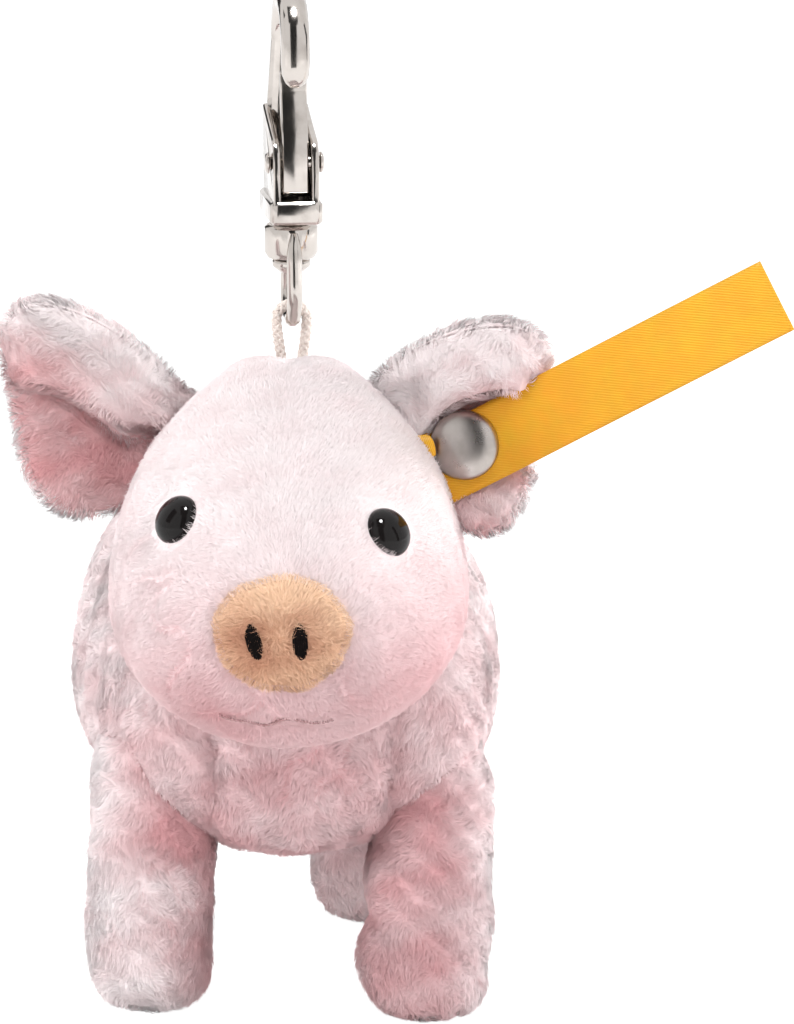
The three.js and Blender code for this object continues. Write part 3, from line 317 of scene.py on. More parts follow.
flag_distance = 1.3
dark_flag("flag_front", -8, 22, 0.4, 0.2, 0.62)
dark_flag("flag_above", -8, 70, flag_distance, 0.9, 0.9)
dark_flag("flag_left", -84, 34, flag_distance, 0.5, 0.9)
dark_flag("flag_right", 66, 12, flag_distance, 0.22, 1.4)
dark_flag("flag_back", 205, 12, flag_distance, 0.5, 1.4)

# Cord loop: one length of cream cotton cord, braided from eight yarns, round the eye's wire and back.
# Its two ends are sewn into the crown's seam, between the ears.
cord_radius = 0.65
bight_radius = 0.95 + 0.3 + cord_radius
wire_z = 87.5
root_z = 80.6
root_half_width = 0.9
fall_shares = (0.3, 0.62, 0.9)
closing_power = 1.4


def unit(vectors):
    return vectors / np.maximum(np.linalg.norm(vectors, axis=-1, keepdims=True), 1e-9)


def smooth_curve(points, count, closed=False):
    """Evenly spaced points on a Catmull-Rom curve through the points given, and its tangents."""
    points = np.asarray(points, float)
    if closed:
        held = np.vstack([points[-1], points, points[:2]])
    else:
        first = 2 * points[0] - points[1]
        last = 2 * points[-1] - points[-2]
        held = np.vstack([first, points, last])
    spans = len(held) - 3
    t = np.linspace(0, spans, spans * 40 + 1)
    index = np.minimum(t.astype(int), spans - 1)
    u = (t - index)[:, None]
    p0, p1, p2, p3 = (held[index + k] for k in range(4))
    line = 0.5 * (
        2 * p1 + (p2 - p0) * u + (2 * p0 - 5 * p1 + 4 * p2 - p3) * u**2 + (3 * p1 - p0 - 3 * p2 + p3) * u**3
    )
    run = np.concatenate([[0], np.cumsum(np.linalg.norm(np.diff(line, axis=0), axis=1))])
    wanted = np.linspace(0, run[-1], count + 1 if closed else count)
    if closed:
        wanted = wanted[:-1]
    even = np.stack([np.interp(wanted, run, line[:, k]) for k in range(line.shape[1])], 1)
    if closed:
        tangent = np.roll(even, -1, 0) - np.roll(even, 1, 0)
    else:
        tangent = np.gradient(even, axis=0)
    return even, unit(tangent)


def side_axes(tangents, first=(0.0, 1.0, 0.0)):
    """Two directions across a curve at each of its points, carried along it without twisting."""
    across = np.empty_like(tangents)
    held = np.asarray(first, float)
    for index, tangent in enumerate(tangents):
        held = held - tangent * (held @ tangent)
        held = held / np.linalg.norm(held)
        across[index] = held
    return across, np.cross(tangents, across)


def tube_grid(line, radii, sides, closed, first=(0.0, 1.0, 0.0)):
    """Rings of points round a curve, with its faces and, if it is open, its ends drawn in to a point."""
    points, tangents = line
    across, up = side_axes(tangents, first)
    turn = np.linspace(0, 2 * np.pi, sides, endpoint=False)
    ring = np.cos(turn)[None, :, None] * across[:, None] + np.sin(turn)[None, :, None] * up[:, None]
    rings = points[:, None] + ring * np.broadcast_to(radii, len(points))[:, None, None]
    return rings.reshape(-1, 3), ring_faces(len(points), sides, closed)


def ring_faces(count, sides, closed):
    faces = []
    for i in range(count if closed else count - 1):
        here = i * sides
        after = (i + 1) % count * sides
        for j in range(sides):
            k = (j + 1) % sides
            faces.append((here + j, here + k, after + k, after + j))
    if not closed:
        faces.append(tuple(reversed(range(sides))))
        faces.append(tuple(range((count - 1) * sides, count * sides)))
    return faces


def toy_mesh(name, points, faces, material):
    """A smooth object from points in millimetres above the soles, in the row frame's metres."""
    points = np.asarray(points, float) + (0, 0, sole_z)
    made = bpy.data.meshes.new(name)
    made.from_pydata((points * MM).tolist(), [], faces)
    made.materials.append(material)
    made.shade_smooth()
    return link_object(name, made)


def as_one(parts):
    """The points and faces of several parts as those of one."""
    all_points = []
    all_faces = []
    total = 0
    for points, faces in parts:
        all_faces += [tuple(total + k for k in face) for face in faces]
        all_points.append(points)
        total += len(points)
    return np.concatenate(all_points), all_faces


spun, group_in, group_out = shader_group(
    "spun_fibre",
    {"Light": "colour", "Dark": "colour", "Scale": "value"},
    {"Colour": "colour", "Height": "value"},
)
place = add_node(spun, "ShaderNodeTexCoord").outputs["Object"]
grain = {"Scale": group_in.outputs["Scale"], "Detail": 5, "Roughness": 0.7}
fine = add_node(spun, "ShaderNodeTexNoise", place, named=grain).outputs[0]
worn = add_node(spun, "ShaderNodeMapRange", fine, 0.35, 0.65, 0.0, 1.0)
colour = mixed(spun, worn.outputs[0], group_in.outputs["Dark"], group_in.outputs["Light"])
close_group(spun, group_out, Colour=colour, Height=fine)


def thread_material(name, light, dark, scale, sheen, gloss=0.5):
    finish = {"Roughness": 0.85, "Sheen_Weight": sheen, "Sheen_Roughness": 0.4, "Specular_IOR_Level": gloss}
    made, tree, shader = new_material(name, **finish)
    fibre = use_group(tree, spun, Light=(*light, 1), Dark=(*dark, 1), Scale=scale)
    paint(tree, shader, fibre.outputs["Colour"])
    add_bump(tree, shader, fibre.outputs["Height"], 0.6, 0.05)
    return made


def loop_line(count):
    """The cord's centreline: round the wire, down both sides and together at the crown's seam."""
    points = []
    bight_steps = 6
    for i in range(bight_steps + 1):
        turn = math.pi * i / bight_steps
        points.append((bight_radius * math.cos(turn), 0, wire_z + bight_radius * math.sin(turn)))
    strand = []
    for share in fall_shares:
        x = bight_radius + (root_half_width - bight_radius) * share**closing_power
        strand.append((x, 0, wire_z - share * (wire_z - root_z)))
    points += [(-x, y, z) for x, y, z in strand]
    root_steps = 4
    for i in range(1, root_steps):
        turn = math.pi * (1 + i / root_steps)
        points.append((root_half_width * math.cos(turn), 0, root_z + root_half_width * math.sin(turn)))
    points += reversed(strand)
    return smooth_curve(points, count, closed=True)


def braided_loop(name, count=300, yarns=8, turns=13, sides=7):
    """Yarns that wind half one way and half the other, each over one and under the next."""
    points, tangents = loop_line(count)
    across, up = side_axes(tangents)
    along = np.arange(count) / count
    yarn_radius = 0.37 * cord_radius
    parts = []
    for yarn in range(yarns):
        way = 1 if yarn % 2 else -1
        start = 2 * np.pi * (yarn // 2) / (yarns / 2)
        turn = start + way * 2 * np.pi * turns / 2 * along
        wave = np.cos(way * (turn - start) * yarns / 2 + start * yarns / 2 + np.pi * (yarn % 2))
        out = cord_radius - yarn_radius * (1.1 - 0.35 * wave)
        line = points + out[:, None] * (np.cos(turn)[:, None] * across + np.sin(turn)[:, None] * up)
        tangent = unit(np.roll(line, -1, 0) - np.roll(line, 1, 0))
        parts.append(tube_grid((line, tangent), yarn_radius, sides, True))
    return toy_mesh(name, *as_one(parts), cream_cotton)


cream_cotton = thread_material("cream_cotton", (0.92, 0.85, 0.8), (0.74, 0.64, 0.58), 2600, 0.3)
loop = braided_loop("braided_loop")
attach(loop, "loop")
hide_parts("hang_loop")

# Body: one stuffed plush skin, fullest behind the middle, with a crease down each side of the chest.
# Its cover is sewn from flat pieces and filled with wadding, which the frame's plain solids stand for.
nap, group_in, group_out = shader_group(
    "plush_nap",
    {"Tone": "value", "Along": "value", "Deep": "colour", "Pink": "colour", "Pale": "colour"},
    {"Colour": "colour", "Roughness": "value"},
)
tone = group_in.outputs["Tone"]
along = group_in.outputs["Along"]
shade = mixed(nap, tone, group_in.outputs["Pink"], group_in.outputs["Pale"])
# Towards its root each fibre is painted deeper, down to the deep colour where the place is pinkest: painted
# shade down in the pile.
base = mixed(nap, tone, group_in.outputs["Deep"], group_in.outputs["Pale"])
rise = add_node(nap, "ShaderNodeMapRange", along, 0.0, 0.4, 0.0, 1.0)
matt = add_node(nap, "ShaderNodeMapRange", along, 0.0, 1.0, 0.95, 0.7)
close_group(nap, group_out, Colour=mixed(nap, rise.outputs[0], base, shade), Roughness=matt.outputs[0])


def nap_materials(name, deep, pink, pale):
    """The fibres' material, which reads each strand's tone, and that of the knitted ground under them."""
    colours = {"Deep": (*deep, 1), "Pink": (*pink, 1), "Pale": (*pale, 1)}
    made = []
    for kind in ("pile", "ground"):
        finish = {"Sheen_Weight": 0.1, "Sheen_Roughness": 0.5, "Specular_IOR_Level": 0.2}
        plush, tree, shader = new_material(f"{name}_{kind}", **finish)
        tone = add_node(tree, "ShaderNodeAttribute", attribute_name="tone").outputs["Fac"]
        if kind == "pile":
            along = add_node(tree, "ShaderNodeAttribute", attribute_name="along").outputs["Fac"]
        else:
            place = add_node(tree, "ShaderNodeTexCoord").outputs["Object"]
            along = add_node(tree, "ShaderNodeTexVoronoi", place, named={"Scale": 1400}).outputs[0]
            add_bump(tree, shader, along, 0.5, 0.15)
        used = use_group(tree, nap, Tone=tone, Along=along, **colours)
        paint(tree, shader, used.outputs["Colour"], used.outputs["Roughness"])
        made.append(plush)
    return made


# Deep, pink and pale: the deep pink is painted shade at the fibres' roots and in the ground between them, and
# the tones mix pink and pale to paint light and shade.
plush_colours = ((0.62, 0.28, 0.295), (0.7, 0.36, 0.375), (0.99, 0.905, 0.908))
pink_pile, pink_ground = nap_materials("pink_plush", *plush_colours)


def swirl(points, scale, seed):
    """A smooth vector field of waves, for the wander of the nap."""
    made = np.random.default_rng(seed)
    total = np.zeros_like(points)
    for _ in range(7):
        wave = made.normal(size=3) / scale
        phase = made.uniform(0, 2 * np.pi, 3)
        amount = made.normal(size=3) / 2.6
        total += amount * np.sin((points @ wave)[:, None] + phase)
    return total


def form_grid(form, rings, sides, inset, bumps=()):
    """Rings of points on an egg-shaped form, pressed in by inset and raised by its bumps.

    Each row of the form's table gives, as shares of its length, half width and height, where a section
    stands, its half width, its top, its bottom and its widest height. A bump is a centre, a reach and a rise.
    """
    rows = np.array(form["shares"])
    size = np.array([form["length"], form["half_width"], form["height"], form["height"], form["height"]])
    rows = rows * size
    nose = rows[0] * (1, 0, 0, 0, 1)
    nose[[2, 3]] = nose[4]
    tail = rows[-1] * (1, 0, 0, 0, 1)
    tail[[2, 3]] = tail[4]
    end_bulge = 0.12
    nose[0] -= end_bulge * rows[0, 1]
    tail[0] += end_bulge * rows[-1, 1]
    rows = np.vstack([nose, rows, tail])
    step = np.hypot(np.diff(rows[:, 0]), np.diff(rows[:, 1]))
    at = np.concatenate([[0], np.cumsum(step)])
    slope = np.gradient(rows, at, axis=0)
    slope[[0, -1], 0] = 0
    fine = np.linspace(0, at[-1], 2000)
    index = np.clip(np.searchsorted(at, fine, side="right") - 1, 0, len(step) - 1)
    u = ((fine - at[index]) / step[index])[:, None]
    h = step[index][:, None]
    read = (2 * u**3 - 3 * u**2 + 1) * rows[index] + (u**3 - 2 * u**2 + u) * h * slope[index]
    read += (3 * u**2 - 2 * u**3) * rows[index + 1] + (u**3 - u**2) * h * slope[index + 1]
    run = np.concatenate([[0], np.cumsum(np.hypot(np.diff(read[:, 0]), np.diff(read[:, 1])))])
    even = np.linspace(0, run[-1], rings)
    read = np.stack([np.interp(even, run, read[:, k]) for k in range(5)], 1)
    turn = np.linspace(0, 2 * np.pi, sides, endpoint=False)
    sine = np.sin(turn)
    y, half, top, bottom, wide = (read[:, k][:, None] for k in range(5))
    x = half * np.cos(turn)
    z = form["bottom_z"] + wide + np.where(sine > 0, (top - wide) * sine, (wide - bottom) * sine)
    grid = np.stack([x, np.broadcast_to(form["front_y"] + y, x.shape), z], 2)
    around = np.roll(grid, -1, 1) - np.roll(grid, 1, 1)
    onward = np.gradient(grid, axis=0)
    out = unit(np.cross(around, onward))
    middle = grid.reshape(-1, 3).mean(0)
    if ((grid - middle) * out).sum() < 0:
        out = -out
    out[0] = (0, -1, 0)
    out[-1] = (0, 1, 0)
    lift = np.full(grid.shape[:2], -float(inset))
    for centre, reach, rise in bumps:
        gap = (grid - np.array(centre)) / np.array(reach)
        lift += rise * np.exp(-(gap**2).sum(2))
    amount, scale = form["crumple"]
    lift += amount * swirl(grid.reshape(-1, 3), scale, 3)[:, 0].reshape(lift.shape)
    return turned_by(grid + out * lift[..., None], form["turn"])


def turned_by(points, angle):
    """Points turned about the line that the toy hangs on."""
    cosine = math.cos(angle)
    sine = math.sin(angle)
    x = points[..., 0] * cosine - points[..., 1] * sine
    y = points[..., 0] * sine + points[..., 1] * cosine
    return np.stack([x, y, points[..., 2]], -1)


def closed_grid(grid):
    """Points and faces of a skin over rings whose first and last are points."""
    rings, sides = grid.shape[:2]
    points = np.vstack([grid[0].mean(0)[None], grid[1:-1].reshape(-1, 3), grid[-1].mean(0)[None]])
    faces = []
    for j in range(sides):
        k = (j + 1) % sides
        faces.append((0, 1 + k, 1 + j))
        last = 1 + (rings - 3) * sides
        faces.append((len(points) - 1, last + j, last + k))
        for i in range(rings - 3):
            here = 1 + i * sides
            faces.append((here + j, here + k, here + sides + k, here + sides + j))
    return points, faces


def cut_by(piece, *cutters):
    """The piece without what lies inside its neighbours' cutters."""
    for cutter in cutters:
        trim = piece.modifiers.new("trim", "BOOLEAN")
        trim.operation = "DIFFERENCE"
        trim.solver = "MANIFOLD"
        trim.object = cutter
    solved = piece.evaluated_get(bpy.context.evaluated_depsgraph_get())
    mesh = bpy.data.meshes.new_from_object(solved)
    piece.modifiers.clear()
    piece.data = mesh
    return piece


def form_skin(name, form, inset, material, bumps=(), rings=110, sides=200):
    points, faces = closed_grid(form_grid(form, rings, sides, inset, bumps))
    return toy_mesh(name, points, [face[::-1] for face in faces], material)


body_turn = math.radians(-2.2)
body_form = {
    "shares": [
        (0, 0.18, 0.62, 0.3, 0.45),
        (0.023, 0.43, 0.72, 0.19, 0.44),
        (0.077, 0.65, 0.83, 0.115, 0.43),
        (0.169, 0.83, 0.905, 0.06, 0.42),
        (0.292, 0.94, 0.962, 0.02, 0.42),
        (0.446, 0.993, 0.996, 0.004, 0.42),
        (0.6, 1, 1, 0, 0.425),
        (0.738, 0.94, 0.977, 0.023, 0.44),
        (0.846, 0.797, 0.925, 0.1, 0.47),
        (0.93, 0.56, 0.82, 0.225, 0.52),
        (0.977, 0.326, 0.7, 0.355, 0.53),
        (1, 0.12, 0.6, 0.46, 0.53),
    ],
    "length": 60,
    "half_width": 27.6,
    "height": 52,
    "front_y": -18,
    "bottom_z": 17.5,
    "turn": body_turn,
    "crumple": (0.3, 3.2),
}
pile_depth = 0.95
body_bumps = [
    ((-11.6, -15, 32), (1.5, 12, 13), -1.7),
    ((11.8, -15, 32), (1.5, 12, 13), -1.7),
    ((0, -18, 31), (9, 9, 11), 1.1),
    ((-19, -9, 36), (6, 10, 11), 1.2),
    ((19, -9, 36), (6, 10, 11), 1.2),
    ((0, 12, 70), (2.5, 30, 6), -0.5),
]
body = form_skin("body_plush", body_form, pile_depth, pink_ground, body_bumps, sides=280)
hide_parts("body_cover", "body_filling")
cutter_gap = 0.12
body_cutter = form_skin("body_cutter", body_form, pile_depth - cutter_gap, pink_ground, body_bumps)
cutters = [body_cutter]

# Head: a stuffed skin turned a little to the pig's right, with a full muzzle under the eyes.
# A seam runs over its crown and down the forehead, and draws the plush in between two soft swellings.
head_turn = math.radians(-8)
head_form = {
    "shares": [
        (0, 0.33, 0.572, 0.259, 0.414),
        (0.0135, 0.45, 0.6, 0.213, 0.41),
        (0.0725, 0.61, 0.678, 0.123, 0.375),
        (0.157, 0.761, 0.771, 0.049, 0.352),
        (0.258, 0.881, 0.88, 0.012, 0.34),
        (0.376, 0.963, 0.965, 0, 0.34),
        (0.511, 1, 1, 0.007, 0.34),
        (0.646, 0.982, 0.979, 0.039, 0.345),
        (0.781, 0.917, 0.926, 0.097, 0.375),
        (0.882, 0.78, 0.873, 0.19, 0.433),
        (0.966, 0.482, 0.745, 0.317, 0.525),
        (1, 0.18, 0.618, 0.479, 0.549),
    ],
    "length": 59.3,
    "half_width": 21.8,
    "height": 43.2,
    "front_y": -0.848 * 59.3,
    "bottom_z": 42.3,
    "turn": head_turn,
    "crumple": (0.1, 3),
}
head_depth = 0.55
head_bumps = [
    ((0, -24, 82), (1.8, 18, 12), -0.6),
    ((-5, -12, 84), (4.5, 10, 6), 1.2),
    ((5, -12, 84), (4.5, 10, 6), 1.2),
    ((-11, -36, 55), (6, 9, 6), 0.9),
    ((11, -36, 55), (6, 9, 6), 0.9),
    ((-12.5, -42, 71), (3.6, 5, 3.2), -0.5),
    ((12.5, -42, 71), (3.6, 5, 3.2), -0.5),
    ((0, -46, 45), (8, 6, 2.2), 0.7),
    ((-0.5, -46, 47.9), (6.5, 6, 0.8), -0.6),
]
head = form_skin("head_plush", head_form, head_depth, pink_ground, head_bumps)
cut_by(head, body_cutter)
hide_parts("head_cover", "head_filling")
head_cutter = form_skin("head_cutter", head_form, head_depth - cutter_gap, pink_ground, head_bumps)
cutters.append(head_cutter)

# Legs: four stuffed tubes of plush with flat soles, sewn on under the body.
# The hind pair is a little shorter and closer together.
leg_shares = [(0, 0.5), (0.03, 0.76), (0.1, 0.94), (0.22, 1)]
leg_shares += [(0.45, 0.96), (0.68, 0.94), (0.86, 0.84), (1, 0.6)]
leg_half_width = 8.6
leg_depth = 1.0
sole_cut = 0.5
leg_places = {
    "front_leg_left": {"x": 17.28, "y": -4.74, "height": 38, "lean": (-2.1, -4.7)},
    "front_leg_right": {"x": -19.04, "y": -4.74, "height": 38, "lean": (0.4, 3.6)},
    "hind_leg_left": {"x": 14.08, "y": 25.02, "height": 36, "lean": (0, 5)},
    "hind_leg_right": {"x": -15.73, "y": 25.02, "height": 36, "lean": (0, 5)},
}


def leg_skin(name, place, rings=90, sides=110):
    shares = np.array([(-0.012, 0.0), *leg_shares, (1.012, 0.0)])
    line, _ = smooth_curve(shares * (place["height"], leg_half_width), rings)
    z = -sole_cut + line[:, 0]
    half = line[:, 1]
    slope = unit(np.gradient(line, axis=0))
    half = np.maximum(half - leg_depth * slope[:, 0], 0)
    z = z + leg_depth * slope[:, 1]
    lean = 1 - line[:, 0] / place["height"]
    turn = np.linspace(0, 2 * np.pi, sides, endpoint=False)
    fold = 1 + 0.03 * np.sin(3 * turn[None] + 5 * lean[:, None]) * np.sin(np.pi * lean[:, None].clip(0, 1))
    wide = half[:, None] * fold
    spot = np.stack([wide * np.cos(turn), wide * np.sin(turn), np.broadcast_to(z[:, None], wide.shape)], 2)
    crumple = 0.3 * swirl(spot.reshape(-1, 3), 2.6, len(name))[:, 0].reshape(wide.shape)
    wide = wide + crumple * (half[:, None] > 3)
    x = place["x"] + place["lean"][0] * lean[:, None] + wide * np.cos(turn)
    y = place["y"] + place["lean"][1] * lean[:, None] + wide * np.sin(turn)
    grid = np.stack([x, y, np.broadcast_to(z[:, None], x.shape)], 2)
    grid[..., 2] = np.maximum(grid[..., 2], sole_cut)
    points, faces = closed_grid(grid)
    return toy_mesh(name, points, faces, pink_ground)


legs = {}
for name, place in leg_places.items():
    leg = leg_skin(name + "_plush", place)
    cut_by(leg, body_cutter)
    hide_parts(name + "_cover", name + "_filling")
    legs[name] = leg

# Ears: two layers of plush sewn back to back and turned, so that each one curls forward like a trough.
# The hollow's lining is painted a deeper pink than the outer layer, as painted shade in the trough.
ear_shares = [(0, 0.37), (0.15, 0.61), (0.3, 0.81), (0.5, 0.96)]
ear_shares += [(0.68, 1), (0.82, 0.92), (0.93, 0.71), (1, 0.38)]
ear_root = Vector((
    0.55 * head_form["half_width"],
    head_form["front_y"] + 0.646 * head_form["length"],
    head_form["bottom_z"] + 0.838 * head_form["height"],
))
ear_half_width = 15
ear_rise = 2.5
ear_forward = 2.5
ear_lean = 1.4
ear_tip_share = 0.6
ear_makes = {
    1: {"reach": 18.2, "curl": 15.6, "drop": 2.5, "slant": 2.4, "pinch": 0},
    -1: {"reach": 21.5, "curl": 17.1, "drop": 0, "slant": 0, "pinch": 0.65},
}
ear_inset = 0.7
ear_layer = 1.3
ear_gap = 0.3
ear_colours = ((0.6, 0.26, 0.275), (0.72, 0.36, 0.37), (0.99, 0.905, 0.905))
ear_pile, ear_ground = nap_materials("ear_plush", *ear_colours)
ear_rolls = {
    1: {"height": 3.0, "line": (0.36, -0.5, 0.25, 0.2)},
    -1: {"height": 2.4, "line": (0.32, -0.62, 0.4, 0.4)},
}


def ear_point(side, out, across):
    """A point on an ear's middle surface, at shares of its reach and of its half width."""
    make = ear_makes[side]
    half = np.interp(out, *ear_profile)
    half = half * np.where(across > 0, 1 - make["pinch"] * (1 - out) ** 2, 1)
    angle = across * half * ear_half_width / make["curl"]
    sweep = (1 - ear_tip_share) * out + ear_tip_share * out**2
    x = ear_root.x + (make["reach"] + ear_lean * across) * out - make["slant"] * across * (1 - out)
    y = ear_root.y - ear_forward * sweep - make["curl"] * (1 - np.cos(angle))
    z = ear_root.z - make["drop"] + ear_rise * out + make["curl"] * np.sin(angle)
    return turned_by(np.stack([side * x, y, z], -1), head_turn)


def over_roll(side, out, across):
    """How far a place lies above the lower edge of the ear's rolled upper rim, in half widths."""
    high, dip, start, run = ear_rolls[side]["line"]
    return across - high - dip * np.exp(-((out - start).clip(0) / run))


def eased(value):
    value = value.clip(0, 1)
    return value * value * (3 - 2 * value)


ear_line, _ = smooth_curve(np.array([*ear_shares, (1.02, 0.0)]), 400)
ear_profile = (ear_line[:, 0], ear_line[:, 1])


def two_sided(front, back):
    """Points and faces of a thin closed sheet between two grids of points."""
    rows, columns = front.shape[:2]
    total = rows * columns
    faces = []
    for i in range(rows - 1):
        for j in range(columns - 1):
            a = i * columns + j
            quad = (a, a + 1, a + columns + 1, a + columns)
            faces.append(quad)
            faces.append(tuple(total + k for k in reversed(quad)))
    rim = [i * columns for i in range(rows)]
    rim += [(rows - 1) * columns + j for j in range(1, columns)]
    rim += [i * columns + columns - 1 for i in range(rows - 2, -1, -1)]
    rim += list(range(columns - 2, 0, -1))
    for a, b in zip(rim, rim[1:] + rim[:1]):
        faces.append((a, b, total + b, total + a))
    return np.concatenate([front.reshape(-1, 3), back.reshape(-1, 3)]), faces


def ear_layer_skin(name, side, low, high, material, rows=80, columns=110):
    """One stuffed-looking layer between two distances in front of the ear's middle surface."""
    short = 1 - ear_inset / ear_makes[side]["reach"]
    narrow = 1 - ear_inset / ear_half_width
    out = short * ear_profile[0][np.linspace(0, len(ear_line) - 1, rows).astype(int)][:, None]
    across = narrow * np.sin(np.linspace(-np.pi / 2, np.pi / 2, columns))[None]
    out = np.broadcast_to(out, (rows, columns))
    across = np.broadcast_to(across, (rows, columns))
    middle = ear_point(side, out, across)
    step = 0.004
    onward = ear_point(side, out + step, across) - ear_point(side, out - step, across)
    around = ear_point(side, out, across + step) - ear_point(side, out, across - step)
    normal = unit(np.cross(onward, around) * side)
    if normal[..., 1].mean() > 0:
        normal = -normal
    edge = np.minimum(1 - (across / narrow) ** 6, (1.02 - out / short) / 0.12).clip(0, 1) ** 0.5
    centre = (low + high) / 2 * (0.2 + 0.8 * edge)
    half = (high - low) / 2 * edge
    rumple = 0.4 * swirl(middle.reshape(-1, 3), 2.2, 11)[:, 0].reshape(rows, columns) * edge
    if low > 0:
        over = over_roll(side, out / short, across / narrow)
        roll = eased(over / 0.2) * (1 - 0.75 * eased((over - 0.25) / 0.6)) * eased(out / short / 0.15)
        rumple = rumple + ear_rolls[side]["height"] * roll * edge
        rumple = rumple - 0.8 * np.exp(-(((over + 0.07) / 0.08) ** 2)) * edge
        rumple = np.maximum(rumple, 0.25 * half - 2 * half)
        upward = unit(around)
        middle = middle - upward * (0.9 * roll * np.exp(-over.clip(0) / 0.3) * edge)[..., None]
    front = middle + normal * (centre + half + rumple * (low > 0))[..., None]
    back = middle + normal * (centre - half + rumple * (low < 0))[..., None]
    points, faces = two_sided(front, back)
    made = toy_mesh(name, points, faces, material)
    weld_and_face_out(made)
    return made


def weld_and_face_out(piece, gap=0.003):
    """Points closer than the gap are joined, and every face is turned outward."""
    work = bmesh.new()
    work.from_mesh(piece.data)
    bmesh.ops.remove_doubles(work, verts=work.verts, dist=gap * MM)
    bmesh.ops.dissolve_degenerate(work, edges=work.edges, dist=gap * MM)
    bmesh.ops.recalc_face_normals(work, faces=work.faces)
    work.to_mesh(piece.data)
    work.free()


ears = {}
for side, word in ((1, "left"), (-1, "right")):
    outer = ear_layer_skin(f"ear_{word}_back", side, -ear_layer - ear_gap / 2, -ear_gap / 2, pink_ground)
    inner = ear_layer_skin(f"ear_{word}_hollow", side, ear_gap / 2, ear_layer + ear_gap / 2, ear_ground)
    for piece in (outer, inner):
        cut_by(piece, head_cutter)
    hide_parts(f"ear_{word}_outer")
    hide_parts(f"ear_{word}_lining")
    ears[word] = (outer, inner)

# Snout: an oval cap of short tan plush over the front of the head.
# It is stuffed and sewn on round its edge, and the face's stitches are worked on and under it.
snout_shares = [(0, 0.9), (0.4, 1), (0.75, 0.97), (0.92, 0.8), (1, 0.5)]
snout_half_width = 7.9
snout_half_height = 6.9
snout_z = head_form["bottom_z"] + 0.419 * head_form["height"]
snout_front_y = head_form["front_y"] - 2.5
snout_depth = 6
snout_pile_depth = 0.8
snout_colours = ((0.46, 0.21, 0.125), (0.62, 0.32, 0.205), (0.98, 0.67, 0.46))
snout_pile, snout_ground = nap_materials("snout_plush", *snout_colours)


def snout_skin(name, inset, material, rings=60, sides=120):
    shares = np.array([(-0.02, 0.0), *snout_shares, (1.02, 0.0)])
    line, _ = smooth_curve(shares * (snout_depth, snout_half_width), rings)
    slope = unit(np.gradient(line, axis=0))
    half = np.maximum(line[:, 1] - inset * slope[:, 0], 0)[:, None]
    along = (line[:, 0] + inset * slope[:, 1])[:, None]
    turn = np.linspace(0, 2 * np.pi, sides, endpoint=False)
    wavy = half * (1 + 0.012 * np.sin(5 * turn + 1) + 0.012 * np.sin(9 * turn))
    x = wavy * np.cos(turn) * (1 + 0.06 * np.sin(turn))
    z = snout_z + wavy * np.sin(turn) * (snout_half_height - inset) / (snout_half_width - inset)
    y = np.broadcast_to(snout_front_y + snout_depth - along, x.shape)
    points, faces = closed_grid(turned_by(np.stack([x, y, z], 2), head_turn))
    made = toy_mesh(name, points, faces, material)
    weld_and_face_out(made)
    return made


snout = snout_skin("snout_plush", snout_pile_depth, snout_ground)
cut_by(snout, head_cutter)
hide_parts("snout_disc")

# Tail: one curl of plush tube that tapers from the rump.
# It is a narrow strip sewn into a tube, turned and set into the seat's seam.
tail_turns = 1.2
tail_radius = 1.9
tail_curl_radius = 3.8
tail_tip_share = 0.55
tail_reach = 9
tail_z = body_form["bottom_z"] + 0.72 * body_form["height"]
tail_root_y = body_form["front_y"] + body_form["length"] - tail_radius
share = np.linspace(0, 1, 23)
turn = 2 * np.pi * tail_turns * share
tail_points = np.stack([
    tail_curl_radius * np.sin(turn),
    tail_root_y + tail_reach * share,
    tail_z + tail_curl_radius * (1 - np.cos(turn)),
], 1)
tail_line = smooth_curve(tail_points, 120)
end_round = np.sqrt(1 - np.linspace(1, 0, 8) ** 2)
radii = tail_radius * (1 + (tail_tip_share - 1) * np.linspace(0, 1, 120)) - 0.6
radii[-8:] *= end_round[::-1].clip(0.05, 1)
points, faces = tube_grid(tail_line, radii, 20, False)
tail = toy_mesh("tail_plush", points, faces, pink_ground)
cut_by(tail, body_cutter)
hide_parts("tail")

for piece in cutters:
    bpy.data.objects.remove(piece)
for piece in (body, head, *legs.values(), snout, tail, *ears["left"], *ears["right"]):
    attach(piece, "pig")

# Eyes: black glass beads with a domed front, each on a shank.
# They are pulled into the plush and held by a washer inside the head.
eye_radius = 3
eye_dome = 2.1
eye_spots = {"left": (0.173, math.radians(42.3)), "right": (0.203, math.radians(180 - 43))}


def form_place(form, share, angle, inset=0.0):
    """A point on a form and the directions back along it, across and out of it there."""

    def point(at_share, at_angle):
        rows = np.array(form["shares"])
        _, half, top, bottom, wide = (np.interp(at_share, rows[:, 0], rows[:, k]) for k in range(5))
        sine = math.sin(at_angle)
        reach = top - wide if sine > 0 else wide - bottom
        x = half * form["half_width"] * math.cos(at_angle)
        z = form["bottom_z"] + (wide + reach * sine) * form["height"]
        return turned_by(np.array([x, form["front_y"] + at_share * form["length"], z]), form["turn"])

    step = 0.02
    middle = point(share, angle)
    onward = point(share + step, angle) - point(share - step, angle)
    around = point(share, angle + step) - point(share, angle - step)
    out = np.cross(around, onward)
    out /= np.linalg.norm(out)
    inside = np.array([0, form["front_y"] + form["length"] / 2, form["bottom_z"] + 20])
    centre = turned_by(inside, form["turn"])
    if out @ (middle - centre) < 0:
        out = -out
    onward /= np.linalg.norm(onward)
    return middle - out * inset, onward, np.cross(out, onward), out


